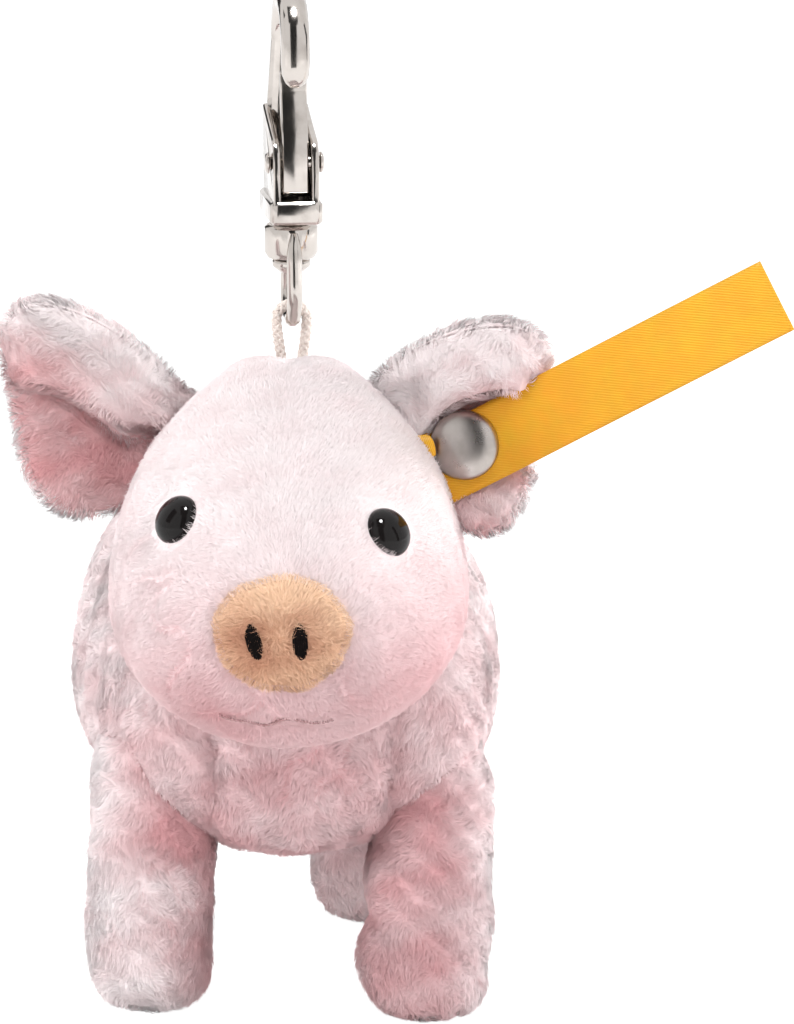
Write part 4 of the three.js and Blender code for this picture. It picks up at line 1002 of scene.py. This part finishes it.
def lathe(name, profile, place, material, steps=64):
    """A turned piece: radii and heights about the place's out direction."""
    middle, side, up, out = place
    turn = np.linspace(0, 2 * np.pi, steps, endpoint=False)
    rings = []
    for radius, height in profile:
        ring = np.cos(turn)[:, None] * side + np.sin(turn)[:, None] * up
        rings.append(middle + out * height + radius * ring)
    points, faces = closed_grid(np.array(rings))
    made = toy_mesh(name, points, faces, material)
    weld_and_face_out(made, 0.001)
    return made


eye_glass, tree, shader = new_material("black_glass", IOR=1.3)
place = add_node(tree, "ShaderNodeTexCoord").outputs["Object"]
smear = add_node(tree, "ShaderNodeTexNoise", place, named={"Scale": 500, "Detail": 5}).outputs[0]
polish = add_node(tree, "ShaderNodeMapRange", smear, 0.3, 0.75, 0.03, 0.09)
tint = mixed(tree, smear, (0.004, 0.0035, 0.0035, 1), (0.012, 0.01, 0.01, 1))
paint(tree, shader, tint, polish.outputs[0])

eye_under = 1.1
eye_shank = 0.8
dome_steps = 18
eye_profile = [(0, -3.6), (eye_shank, -3.6), (eye_shank, -eye_under), (eye_radius * 0.8, -eye_under * 0.8)]
eye_profile += [(eye_radius * 0.97, -eye_under * 0.3)]
for i in range(dome_steps + 1):
    turn = i / dome_steps * math.pi / 2
    eye_profile.append((eye_radius * math.cos(turn), eye_dome * math.sin(turn)))
eye_places = {}
for word, (along, angle) in eye_spots.items():
    place = form_place(head_form, along, angle, inset=0.9)
    eye_places[word] = place
    bead = lathe(f"eye_bead_{word}", eye_profile, place, eye_glass)
    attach(bead, "pig")
    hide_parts(f"eye_{word}")

# Washers, which hold the eyes and the button from behind.
# Those inside the head are clear plastic, and the one on the ear is pressed steel.
washer_plastic, tree, shader = new_material("washer_plastic", IOR=1.49, Transmission_Weight=0.4)
place = add_node(tree, "ShaderNodeTexCoord").outputs["Object"]
haze = add_node(tree, "ShaderNodeTexNoise", place, named={"Scale": 900}).outputs[0]
cloudy = add_node(tree, "ShaderNodeMapRange", haze, 0.3, 0.7, 0.25, 0.5)
milky = add_node(tree, "ShaderNodeMapRange", haze, 0.3, 0.7, 0.7, 0.84)
paint(tree, shader, milky.outputs[0], cloudy.outputs[0])
for name in ("eye_washer_left", "eye_washer_right"):
    dress_node(name, washer_plastic)
button_steel = plated("button_steel", (0.56, 0.51, 0.485), (0.44, 0.4, 0.37), 0.27, 0.38, 0.01)
dress_node("button_washer", button_steel)

# Nostrils: two ovals in black satin stitch on the snout.
# Each is a row of threads side by side, pulled tight over a little padding.
black_thread = thread_material("black_thread", (0.006, 0.004, 0.004), (0.002, 0.001, 0.001), 3000, 0.0, 0.1)
nostril_x = 0.33 * snout_half_width
nostril_z = snout_z - 0.05 * snout_half_height
nostril_shift = -0.5
nostril_half_width = 0.85
nostril_half_height = 2.1
nostril_tilts = {"left": math.radians(4), "right": math.radians(14)}
nostril_threads = 9


def stitched_oval(name, centre, half_width, half_height, tilt, material):
    """Threads side by side, each bowed out over the padding and pulled in at both ends."""
    gap = 2 * half_width / nostril_threads
    parts = []
    for i in range(nostril_threads):
        x = -half_width + gap * (i + 0.5)
        reach = half_height * math.sqrt(max(0.04, 1 - (x / half_width) ** 2))
        t = np.linspace(-1, 1, 14)
        z = reach * t
        y = -0.55 * np.sqrt(np.maximum(0, 1 - 0.98 * t**2)) * math.sqrt(1 - 0.6 * (x / half_width) ** 2)
        line = np.stack([np.full_like(t, x), y, z], 1)
        spun_x = line[:, 0] * math.cos(tilt) - line[:, 2] * math.sin(tilt)
        spun_z = line[:, 0] * math.sin(tilt) + line[:, 2] * math.cos(tilt)
        line = np.stack([spun_x + centre[0], line[:, 1] + centre[1], spun_z + centre[2]], 1)
        line = turned_by(line, head_turn)
        tangent = unit(np.gradient(line, axis=0))
        parts.append(tube_grid((line, tangent), gap * 0.62, 7, False, first=(1.0, 0.1, 0.0)))
    return toy_mesh(name, *as_one(parts), material)


for side, word in ((1, "left"), (-1, "right")):
    centre = (side * nostril_x + nostril_shift, snout_front_y + 0.35, nostril_z)
    size = (nostril_half_width, nostril_half_height, nostril_tilts[word])
    oval = stitched_oval(f"nostril_stitch_{word}", centre, *size, black_thread)
    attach(oval, "pig")
    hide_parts(f"nostril_{word}")

# Mouth: one rose thread of two plies.
# It is laid along the seam under the snout and fastened off at both corners.
rose_thread = thread_material("rose_thread", (0.5, 0.3, 0.3), (0.3, 0.16, 0.16), 2600, 0.2)
mouth_shares = (0.077, 0.073, 0.069, 0.064, 0.064, 0.064, 0.054, 0.047, 0.049, 0.056, 0.064, 0.068, 0.07)
mouth_start = math.radians(-124)
mouth_end = math.radians(-64)
mouth_radius = 0.19
mouth_points = []
for angle, along in zip(np.linspace(mouth_start, mouth_end, len(mouth_shares)), mouth_shares):
    mouth_points.append(form_place(head_form, along, angle, inset=0.3)[0])
line, tangent = smooth_curve(mouth_points, 150)
across, up = side_axes(tangent, first=(0.0, 0.0, 1.0))
plies = []
for ply in range(2):
    turn = np.pi * ply + np.linspace(0, 2 * np.pi * 13, 150)
    wound = line + mouth_radius * 0.5 * (np.cos(turn)[:, None] * across + np.sin(turn)[:, None] * up)
    run = unit(np.gradient(wound, axis=0))
    plies.append(tube_grid((wound, run), mouth_radius * 0.62, 6, False, first=(0.0, 0.0, 1.0)))
mouth = toy_mesh("mouth_thread", *as_one(plies), rose_thread)
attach(mouth, "pig")
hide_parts("mouth_stitch")

# Ribbon tag: a strip of yellow satin twill, folded double and held under the button.
# It is bowed away from the ear, and its fold end stands out to the side.
ribbon_width = 9
ribbon_length = 41.6
ribbon_drop = 1.1
ribbon_tuck = 4.6
ribbon_layer = 0.3
ribbon_fold_gap = 0.3
ribbon_bow = 5
ribbon_climb = math.radians(27.3)
button_out = 0.54
button_across = -0.195
stack_drop = ear_layer + ear_gap / 2
hollow_radius = ear_makes[1]["curl"] - stack_drop
ribbon_sag = (ribbon_width / 2 + ribbon_drop) ** 2 / (2 * hollow_radius)
ribbon_lift = stack_drop + 0.3 + ribbon_layer + ribbon_sag
ribbon_run = [(0, 0), (0.1, 0.03), (0.2, 0.22), (0.32, 0.46)]
ribbon_run += [(0.48, 0.68), (0.68, 0.84), (0.86, 0.96), (1, 1)]
satin_half = ribbon_layer / 2 * 0.8

satin, tree, shader = new_material("yellow_satin", Anisotropic=0.4, Specular_IOR_Level=0.2)
place = add_node(tree, "ShaderNodeUVMap", uv_map="ribs").outputs[0]
twill_turn = (0, 0, math.radians(58))
rib_turn = add_node(tree, "ShaderNodeMapping", place, named={"Rotation": twill_turn}).outputs[0]
twill = {"Scale": 1.05, "Distortion": 0.5, "Detail Scale": 3}
rib = add_node(tree, "ShaderNodeTexWave", rib_turn, wave_profile="SIN", bands_direction="X", named=twill)
rib = rib.outputs["Fac"]
cloud = add_node(tree, "ShaderNodeTexNoise", place, named={"Scale": 0.35, "Detail": 4}).outputs["Color"]
run_length = add_node(tree, "ShaderNodeSeparateXYZ", place).outputs[0]
# Towards the button the satin is painted darker and browner, as painted shade where it bends in under the
# button.
button_shade = add_node(tree, "ShaderNodeMapRange", run_length, 55.0, 86.0, 0.0, 0.5).outputs[0]
gold = mixed(tree, rib, (0.72, 0.32, 0.014, 1), (0.85, 0.45, 0.045, 1))
gold = mixed(tree, button_shade, gold, (0.6, 0.25, 0.01, 1))
gold = mixed(tree, 0.25, gold, cloud, blend_type="MULTIPLY")
shine = add_node(tree, "ShaderNodeMapRange", rib, 0.0, 1.0, 0.5, 0.36)
paint(tree, shader, gold, shine.outputs[0])
add_bump(tree, shader, rib, 0.35, 0.05)


def button_place():
    """Where the button's shank crosses the ear: along the ribbon, up it, and out of the ear."""
    step = 0.01
    middle = ear_point(1, button_out, button_across)
    onward = ear_point(1, button_out + step, button_across) - middle
    around = ear_point(1, button_out, button_across + step) - middle
    out = np.cross(onward, around)
    out /= np.linalg.norm(out)
    if out[1] > 0:
        out = -out
    along = turned_by(np.array([math.cos(ribbon_climb), 0, math.sin(ribbon_climb)]), head_turn)
    along = along - out * (along @ out)
    along /= np.linalg.norm(along)
    return middle, along, np.cross(out, along), out


button_middle, button_along, button_up, button_axis = button_place()
tip_run = [(-4.4, 0.1), (-5.4, 0.3), (-6.0, 1.0), (-5.6, 1.9), (-4.6, 2.4), (-3.6, 2.35), (-2.9, 1.95)]
tip_width = 3.8
tip_middle = 1.9
tip_length = 8


def curled_tip(rows=36, count=13):
    """The corner of the cut end, which curls up beside the button and over its rim."""
    top = ribbon_lift + 2 * ribbon_layer + ribbon_fold_gap
    line, tangent = smooth_curve(np.array(tip_run) + (0, top), rows)
    side = np.stack([-tangent[:, 1], tangent[:, 0]], 1)
    along = np.linspace(0, 1, rows)[:, None]
    across = np.linspace(-0.5, 0.5, count)[None]
    up = tip_middle + across * (tip_width - 0.9 * along**3) + 0.5 * along * np.cos(np.pi * across)
    layers = []
    for offset in (satin_half, -satin_half):
        bent = line + side * offset
        reach = bent[:, 0, None] - 0.7 * along * (2 * across) ** 2 - 0.35 * across
        height = bent[:, 1, None] + 0.18 * np.sin(7 * across + 2 * along)
        spot = reach[..., None] * button_along + height[..., None] * button_axis
        layers.append(button_middle + spot + up[..., None] * button_up)
    points, faces = two_sided(*layers)
    lengths = np.tile((along * tip_length + 0 * across).ravel(), 2)
    return points, faces, lengths, np.tile((across * tip_width + 0 * along).ravel(), 2)


def ribbon_strip(name):
    """One strip that runs out along its back layer, turns at the fold and comes back along the front."""
    run = [(-ribbon_tuck, ribbon_lift)]
    run += [(share * ribbon_length, ribbon_lift + bow * ribbon_bow) for share, bow in ribbon_run]
    line, tangent = smooth_curve(run, 90)
    side = np.stack([-tangent[:, 1], tangent[:, 0]], 1)
    half_gap = (ribbon_layer + ribbon_fold_gap) / 2
    middle = line + side * (ribbon_layer + ribbon_fold_gap / 2)
    back = middle - side * half_gap
    front = middle + side * half_gap
    end = middle[-1]
    turn = np.linspace(-np.pi / 2, np.pi / 2, 12)[1:-1]
    fold = end + half_gap * (np.cos(turn)[:, None] * tangent[-1] + np.sin(turn)[:, None] * side[-1])
    centre = np.vstack([back, fold, front[::-1]])
    centre, direction = smooth_curve(centre, 230)
    outward = np.stack([direction[:, 1], -direction[:, 0]], 1)
    columns = np.linspace(-0.5, 0.5, 15) * ribbon_width
    run_length = np.concatenate([[0], np.cumsum(np.linalg.norm(np.diff(centre, axis=0), axis=1))])
    crown = 0.18 * (1 - (2 * columns / ribbon_width) ** 2)
    layers = []
    for offset in (satin_half, -satin_half):
        bent = centre + outward * offset
        grid = (
            button_middle
            + bent[:, None, 0, None] * button_along
            + (bent[:, None, 1, None] + crown[None, :, None]) * button_axis
            + (columns[None, :, None] - ribbon_drop) * button_up
        )
        layers.append(grid)
    rows, count = layers[0].shape[:2]
    points, faces = two_sided(*layers)
    lengths = np.tile(np.repeat(run_length, count), 2)
    widths = np.tile(np.tile(columns, rows), 2)
    tip_points, tip_faces, tip_lengths, tip_widths = curled_tip()
    points, faces = as_one([(points, faces), (tip_points, tip_faces)])
    lengths = np.concatenate([lengths, tip_lengths])
    widths = np.concatenate([widths, tip_widths])
    made = toy_mesh(name, points, faces, satin)
    layer = made.data.uv_layers.new(name="ribs")
    index = np.empty(len(made.data.loops), np.int32)
    made.data.loops.foreach_get("vertex_index", index)
    layer.uv.foreach_set("vector", np.stack([lengths[index], widths[index]], 1).astype(np.float32).ravel())
    weld_and_face_out(made, 0.001)
    return made


ribbon = ribbon_strip("satin_ribbon")
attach(ribbon, "pig")
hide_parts("ear_ribbon")

# Button: a plain domed steel cap on a shank.
# It is pressed on through the ribbon and the ear, into the washer behind them.
button_radius = 4.2
button_dome = 1.5
cap_base = ribbon_lift + 2 * ribbon_layer + ribbon_fold_gap + 0.3
shank_radius = 0.9
shank_end = -stack_drop - 0.6 - 0.5
profile = [(0, shank_end - 0.4), (shank_radius + 0.4, shank_end - 0.4), (shank_radius + 0.4, shank_end)]
profile += [(shank_radius, shank_end), (shank_radius, cap_base + 0.1), (button_radius - 0.5, cap_base + 0.1)]
profile += [(button_radius - 0.1, cap_base - 0.12), (button_radius, cap_base)]
for i in range(1, dome_steps + 1):
    turn = i / dome_steps * math.pi / 2
    profile.append((button_radius * math.cos(turn) ** 0.8, cap_base + button_dome * math.sin(turn)))
button_spot = (button_middle, button_along, button_up, button_axis)
button = lathe("domed_button", profile, button_spot, button_steel, steps=96)
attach(button, "pig")
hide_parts("ribbon_button")

# Pile: the fibres of the plush, brushed out after the toy was sewn and stuffed.
# Every fibre is a closed spindle with one bend, and fibres lean together in small clumps.
fur_seed = 7
faces_per_strand = 6
parting_reach = 0.32
spread_reach = 1.1
bend_share = 0.45
root_sunk = 0.08
most_strands = 200000 // faces_per_strand


def mesh_arrays(piece):
    mesh = piece.data
    mesh.calc_loop_triangles()
    corners = np.empty(len(mesh.loop_triangles) * 3, np.int32)
    mesh.loop_triangles.foreach_get("vertices", corners)
    points = np.empty(len(mesh.vertices) * 3, np.float32)
    mesh.vertices.foreach_get("co", points)
    normals = np.empty(len(mesh.vertices) * 3, np.float32)
    mesh.vertices.foreach_get("normal", normals)
    return points.reshape(-1, 3) / MM, normals.reshape(-1, 3), corners.reshape(-1, 3)


def nearest_other(points, others, reach):
    """Which points lie within reach of another piece's skin."""
    found = np.zeros(len(points), bool)
    for other in others:
        places, _, corners = mesh_arrays(other)
        inside = ((points > places.min(0) - reach) & (points < places.max(0) + reach)).all(1)
        near = np.flatnonzero(inside & ~found)
        search = BVHTree.FromPolygons(places.tolist(), corners.tolist())
        found[near] = [search.find_nearest(p, reach)[0] is not None for p in points[near].tolist()]
    return found


def ripples(points, scale, seed, waves=14):
    """A smooth wave field and its slope. The lines where it is zero wander like partings in a nap."""
    made = np.random.default_rng(seed)
    value = np.zeros(len(points))
    slope = np.zeros((len(points), 3))
    for _ in range(waves):
        wave = unit(made.normal(size=3)) * made.uniform(0.7, 1.4) / scale
        angle = points @ wave + made.uniform(0, 2 * np.pi)
        value += np.sin(angle)
        slope += np.cos(angle)[:, None] * wave
    return value / math.sqrt(waves / 2), slope / math.sqrt(waves / 2)


def clump_pull(roots, spacing, rng):
    """For each root, the index of the root that leads its clump."""
    wanted = max(1, int(len(roots) / spacing))
    leaders = rng.choice(len(roots), wanted, replace=False)
    search = kdtree.KDTree(wanted)
    for index, leader in enumerate(leaders):
        search.insert(roots[leader].tolist(), index)
    search.balance()
    return leaders[np.array([search.find(p)[1] for p in roots.tolist()])]


def nap_tone(style, height, out):
    """How pale the plush is at each place, with its painted light and shade and its soft blotches."""
    blotches = swirl(height, 4, fur_seed + 2)[:, 0] + swirl(height, 1.3, fur_seed + 5)[:, 1]
    return style["tone"](height, out) + style["mottle"] * blotches


def tone_ground(skin, points, normals, style):
    """The knitted ground takes the same tones, painted light and shade included, as the fibres that stand on
    it.
    """
    tones = nap_tone(style, points - (0, 0, sole_z), normals).clip(0.02, 0.98).astype(np.float32)
    skin.data.attributes.new("tone", "FLOAT", "POINT").data.foreach_set("value", tones)


def brush_pile(name, skin, style, material, clear_of, keep=None):
    """Fibres over a skin, in as many pieces as the count of their faces asks for."""
    rng = np.random.default_rng(fur_seed + len(name))
    points, normals, corners = mesh_arrays(skin)
    edges = points[corners]
    area = np.linalg.norm(np.cross(edges[:, 1] - edges[:, 0], edges[:, 2] - edges[:, 0]), axis=1) / 2
    count = int(area.sum() * style["density"])
    face = np.searchsorted(np.cumsum(area), rng.uniform(0, area.sum(), count)).clip(0, len(area) - 1)
    weight = rng.dirichlet((1, 1, 1), count)
    roots = (edges[face] * weight[..., None]).sum(1)
    out = unit((normals[corners[face]] * weight[..., None]).sum(1))
    kept = ~nearest_other(roots, clear_of, style["clear"])
    height = roots - (0, 0, sole_z)
    if keep is not None:
        kept &= keep(height, out)
    roots, out, height = roots[kept], out[kept], height[kept]
    count = len(roots)
    value, slope = ripples(height, style["parting_scale"], fur_seed + 3)
    slope -= out * (slope * out).sum(1)[:, None]
    steep = np.linalg.norm(slope, axis=1)
    gap = np.abs(value) / np.maximum(steep, 0.2 / style["parting_scale"])
    broken = (swirl(height, 5, fur_seed + 4)[:, 0] + style["parted"]).clip(0, 1)
    parting = broken * np.exp(-((gap / parting_reach) ** 2))
    spread = broken * np.exp(-((gap / spread_reach) ** 2))
    flow = unit(style["flow"](height, out)) + style["wander"] * swirl(height, style["wander_scale"], fur_seed)
    flow += unit(slope) * (np.sign(value) * spread * style["parted_push"])[:, None]
    flow += style["ruffle"] * rng.normal(size=(count, 3))
    flow = unit(flow - out * (flow * out).sum(1)[:, None])
    lift = style["lift"] * rng.uniform(0.7, 1.3, count)
    lift = np.where(rng.uniform(size=count) < style["stray"], lift * 1.9, lift).clip(0, 0.95)[:, None]
    first = unit(flow * (1 - lift) + out * lift)
    second = unit(flow * (1 - 0.3 * lift) + out * 0.3 * lift)
    length = style["length"](height, out) * rng.uniform(0.7, 1.2, count)
    length = (length * (1 - 0.4 * parting))[:, None]
    middle = roots + first * length * bend_share
    tip = middle + second * length * (1 - bend_share)
    leader = clump_pull(roots, style["clump"], rng)
    pull = style["gather"] * rng.uniform(0.4, 1, count)[:, None]
    tip = tip + (tip[leader] - tip) * pull
    middle = middle + (middle[leader] - middle) * pull * 0.3
    if style["beads"]:
        middle = over_beads(middle)
        tip = over_beads(tip)
    middle[:, 2] = np.maximum(middle[:, 2], sole_z + 0.05)
    tip[:, 2] = np.maximum(tip[:, 2], sole_z + 0.03)
    tone = nap_tone(style, height, out) + style["speckle"] * rng.normal(size=count)
    # Fibres along the partings are painted darker, as painted shade where the pile opens.
    tone += style["speckle"] * rng.normal(size=count)[leader] - 0.25 * parting
    tone = tone.clip(0.02, 0.98)
    tone_ground(skin, points, normals, style)
    order = np.argsort(height @ np.array(style["split"]), kind="stable")
    parts = math.ceil(count / most_strands)
    made = []
    for part, chosen in enumerate(np.array_split(order, parts)):
        label = f"{name}_{part + 1}" if parts > 1 else name
        arrays = [a[chosen] for a in (roots, middle, tip, out, tone)]
        made.append(strand_mesh(label, arrays, style["width"], style["round"], material, rng))
    return made


def strand_mesh(name, arrays, width, roundness, material, rng):
    roots, middle, tip, out, tone = arrays
    count = len(roots)
    axis = unit(tip - roots)
    across = unit(np.cross(axis, out + 0.01))
    up = np.cross(axis, across)
    start = np.pi / 2 + rng.uniform(-0.5, 0.5, count)
    wide = width / 2 * rng.uniform(0.75, 1.25, count)
    places = np.empty((count, 5, 3))
    sides = np.empty((count, 5, 3))
    places[:, 0] = roots - out * root_sunk
    places[:, 4] = tip
    facing = unit(out - 0.4 * axis * (out * axis).sum(1)[:, None])
    sides[:, 0] = facing
    sides[:, 4] = facing
    for k in range(3):
        turn = start + 2 * np.pi * k / 3
        ring = np.cos(turn)[:, None] * across + np.sin(turn)[:, None] * up
        places[:, 1 + k] = middle + ring * wide[:, None]
        sides[:, 1 + k] = unit(facing + ring * roundness)
    one = np.array([(0, 2, 1), (0, 3, 2), (0, 1, 3), (1, 2, 4), (2, 3, 4), (3, 1, 4)])
    corners = (np.arange(count)[:, None, None] * 5 + one).reshape(-1)
    mesh = bpy.data.meshes.new(name)
    mesh.vertices.add(count * 5)
    mesh.vertices.foreach_set("co", (places.reshape(-1, 3) * MM).astype(np.float32).ravel())
    mesh.loops.add(len(corners))
    mesh.loops.foreach_set("vertex_index", corners.astype(np.int32))
    mesh.polygons.add(count * faces_per_strand)
    starts = np.arange(count * faces_per_strand, dtype=np.int32) * 3
    mesh.polygons.foreach_set("loop_start", starts)
    mesh.update(calc_edges=True)
    mesh.shade_smooth()
    along = np.tile(np.array([0, bend_share, bend_share, bend_share, 1], np.float32), count)
    mesh.attributes.new("along", "FLOAT", "POINT").data.foreach_set("value", along)
    tones = np.repeat(tone, 5).astype(np.float32)
    mesh.attributes.new("tone", "FLOAT", "POINT").data.foreach_set("value", tones)
    spread = 0.006
    shift = np.tile(np.array([0, -spread, 0, spread, 0], np.float32), count)
    laid = np.stack([tones + shift, along], 1)[corners]
    mesh.uv_layers.new(name="OFBake").uv.foreach_set("vector", laid.astype(np.float32).ravel())
    mesh.normals_split_custom_set_from_vertices(sides.reshape(-1, 3).astype(np.float32))
    mesh.materials.append(material)
    made = link_object(name, mesh)
    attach(made, "pig")
    return made


def toward(*direction):
    """A nap that lies the same way all over, in the toy's own directions."""
    return lambda height, out: np.broadcast_to(np.array(direction, float), height.shape).copy()


def ear_flow(side):
    """Outward from the middle of the ear, so that the nap of both layers closes over the seam."""

    def flow(height, out):
        turned = turned_by(height, -head_turn)
        middle_x = side * (ear_root.x + 0.4 * ear_makes[side]["reach"])
        way = turned - (middle_x, 0, ear_root.z)
        way[:, 1] = -1.5
        return turned_by(unit(way) + (0.5 * side, 0, 0), head_turn)

    return flow


def head_flow(height, out):
    """Back from the snout, down the cheeks, and apart along the forehead's seam."""
    turned = turned_by(height, -head_turn)
    flow = np.zeros_like(turned)
    flow[:, 1] = 1
    flow[:, 0] = 0.5 * np.tanh(turned[:, 0] / 1.2) * np.exp(-np.abs(turned[:, 0]) / 4) * (turned[:, 2] > 66)
    flow[:, 2] = -0.5 * (1 - np.exp(-(turned[:, 0] / 12) ** 2))
    return turned_by(flow, head_turn)


def snout_flow(height, out):
    """Outward from the middle of the snout."""
    turned = turned_by(height, -head_turn)
    flow = turned - (0, snout_front_y, snout_z)
    flow[:, 1] = 0.5
    return turned_by(flow, head_turn)


def body_tone(height, out):
    """Painted light and shade: pale on the back and flanks, where the light falls, pinker on the chest and
    belly, and deepest down the chest creases.
    """
    turned = turned_by(height, -body_turn)
    side = (np.abs(turned[:, 0]) / 27).clip(0, 1) ** 2.5
    tone = 0.36 + 0.34 * side + 0.4 * out[:, 2].clip(0) - 0.1 * (-out[:, 2]).clip(0)
    crease = np.exp(-(((np.abs(turned[:, 0]) - 11.7) / 1.3) ** 2)) * (turned[:, 1] < -6) * (height[:, 2] < 48)
    return tone - 0.1 * crease


def head_tone(height, out):
    """Painted light and shade: nearly white on the forehead, where the light falls from above, and pinker on
    the chin, the muzzle's right side and the left cheek.
    """
    x = turned_by(height, -head_turn)[:, 0]
    low = 0.3 + 0.16 * eased((-x - 10) / 7) - 0.12 * eased((x - 8) / 8)
    low -= 0.14 * np.exp(-(((x + 9) / 6) ** 2) - ((height[:, 2] - 50) / 6) ** 2)
    return low + (0.92 - low) * eased((height[:, 2] - 49) / 26)


def leg_tone(side, middle, outer, inner, top):
    """A middle tone, with painted light added on the outside, and tone taken off as painted shade on the
    inside and towards the body.
    """

    def tone(height, out):
        across = side * out[:, 0]
        turned = outer * across.clip(0) - inner * (-across).clip(0)
        return middle + turned - top * eased((height[:, 2] - 16) / 12) * (1 - across.clip(0))

    return tone


def hollow_tone(side, low, gain, reach):
    """Deep pink in the ear's hollow as painted shade, and paler up over its rolled rim as painted light."""

    def tone(height, out):
        turned = turned_by(height, -head_turn)
        make = ear_makes[side]
        along = (side * turned[:, 0] - ear_root.x) / make["reach"]
        across = (turned[:, 2] - ear_root.z + make["drop"] - ear_rise * along) / ear_half_width
        return low + gain * eased((over_roll(side, along, across) + 0.1) / reach)

    return tone


def snout_tone(height, out):
    """Lighter over the top of the snout and towards its left and darker low down, as painted light and shade,
    and deeper tan round the nostrils.
    """
    turned = turned_by(height, -head_turn)
    tone = 0.6 + 0.07 * (height[:, 2] - snout_z) + 0.015 * turned[:, 0]
    for side in (-1, 1):
        gap = np.hypot(turned[:, 0] - side * nostril_x - nostril_shift, 0.6 * (height[:, 2] - nostril_z))
        tone = tone - 0.42 * np.exp(-((gap / 1.9) ** 2))
    return tone


def even(value):
    """The same length or tone all over."""
    return lambda height, out: np.full(len(height), float(value))


face_length = 1.25
trimmed_off = 0.95
trim_radius = 3.1
trim_reach = 0.95


def head_length(height, out):
    """Short over the face, and shorter still round the eyes, where the nap is trimmed to the beads."""
    length = np.full(len(height), face_length)
    for middle, _, _, _ in eye_places.values():
        gap = np.linalg.norm(height - middle, axis=1)
        length = length - trimmed_off * np.exp(-(((gap - trim_radius) / trim_reach) ** 2))
    return length


def over_beads(points):
    """Points of the nap lifted clear of the eye beads that they cross."""
    for middle, _, _, out in eye_places.values():
        gap = points - (0, 0, sole_z) - middle
        rise = gap @ out
        across = np.linalg.norm(gap - rise[:, None] * out, axis=1) / eye_radius
        near = (across < 1) & (rise > -eye_under)
        dome = eye_dome * np.sqrt((1 - across**2).clip(0)) + 0.06
        points = points + out * np.where(near, (dome - rise).clip(0), 0)[:, None]
    return points


def beside_beads(height, out):
    """Which roots on the head lie outside the eye beads."""
    clear = np.ones(len(height), bool)
    for middle, _, _, _ in eye_places.values():
        clear &= np.linalg.norm(height - middle, axis=1) > eye_radius + 0.05
    return clear


short_pile = {
    "density": 34, "length": head_length, "width": 0.055, "lift": 0.36, "stray": 0.04, "clear": 0.3,
    "clump": 9, "beads": True, "mottle": 0.05, "speckle": 0.02, "round": 0.12, "gather": 0.3,
    "wander": 0.3, "wander_scale": 4, "ruffle": 0.25, "parting_scale": 1.6, "parted": -0.45,
    "parted_push": 0.7, "flow": head_flow, "tone": head_tone, "split": (0, 1, 0),
}
long_pile = dict(short_pile, density=24, length=even(1.55), width=0.066, lift=0.5, stray=0.08, clump=17)
long_pile.update(gather=0.5, wander=1.1, wander_scale=1.5, parting_scale=1.1, parted=-0.15, parted_push=0.8)
long_pile.update(ruffle=0.4, flow=toward(0, 0.8, -0.7), tone=body_tone, beads=False, mottle=0.12)
leg_pile = dict(long_pile, flow=toward(0, 0.1, -1))
# The legs' tones are painted light and shade: the right front leg paler, the left front leg pinker, and all
# paler on their outer sides.
leg_tones = {
    "front_leg_left": leg_tone(1, 0.2, 0.6, -0.05, 0.05),
    "front_leg_right": leg_tone(-1, 0.74, 0.15, 0.55, 0.56),
    "hind_leg_left": leg_tone(1, 0.6, 0.2, 0.0, 0.0),
    "hind_leg_right": leg_tone(-1, 0.6, 0.2, 0.0, 0.0),
}
snout_style = dict(short_pile, length=even(1.45), lift=0.75, width=0.06, density=42, clump=6)
snout_style.update(tone=snout_tone, ruffle=0.8, wander=0.9, wander_scale=1.6, beads=False, mottle=0.24)
snout_style.update(flow=snout_flow, speckle=0.1)
tail_style = dict(long_pile, length=even(1.3), flow=toward(0.3, 1, 0))

skins = [body, head, *legs.values(), snout, tail, *ears["left"], *ears["right"]]


def others(piece):
    return [other for other in skins if other is not piece]


def beside_ribbon(height, out):
    """Which roots in the left ear's hollow the ribbon and the button don't press flat."""
    along = (height - button_middle) @ button_along
    up = (height - button_middle) @ button_up + ribbon_drop
    return (along < 0.8 - ribbon_tuck) | (np.abs(up) > ribbon_width / 2 - 0.4)


hollow_tones = {1: hollow_tone(1, 0.34, 0.64, 0.4), -1: hollow_tone(-1, 0.17, 0.8, 0.85)}
pile = {}
pile["pink_plush"] = brush_pile("body_pile", body, long_pile, pink_pile, others(body))
pile["pink_plush"] += brush_pile("head_pile", head, short_pile, pink_pile, others(head), beside_beads)
for name, leg in legs.items():
    leg_pile["tone"] = leg_tones[name]
    pile["pink_plush"] += brush_pile(name + "_pile", leg, leg_pile, pink_pile, others(leg))
pile["pink_plush"] += brush_pile("tail_pile", tail, tail_style, pink_pile, others(tail))
pile["snout_plush"] = brush_pile("snout_pile", snout, snout_style, snout_pile, others(snout))
pile["ear_plush"] = []
for side, word in ((1, "left"), (-1, "right")):
    outer, inner = ears[word]
    ear_style = dict(long_pile, flow=ear_flow(side), length=even(2.0), clear=0.03, tone=even(0.82))
    ear_style.update(lift=0.62, mottle=0.16, speckle=0.05, round=0.3)
    pile["pink_plush"] += brush_pile(f"ear_{word}_back_pile", outer, ear_style, pink_pile, others(outer))
    hollow_style = dict(ear_style, length=even(1.7), tone=hollow_tones[side])
    keep = beside_ribbon if side == 1 else None
    name = f"ear_{word}_hollow_pile"
    pile["ear_plush"] += brush_pile(name, inner, hollow_style, ear_pile, others(inner), keep)
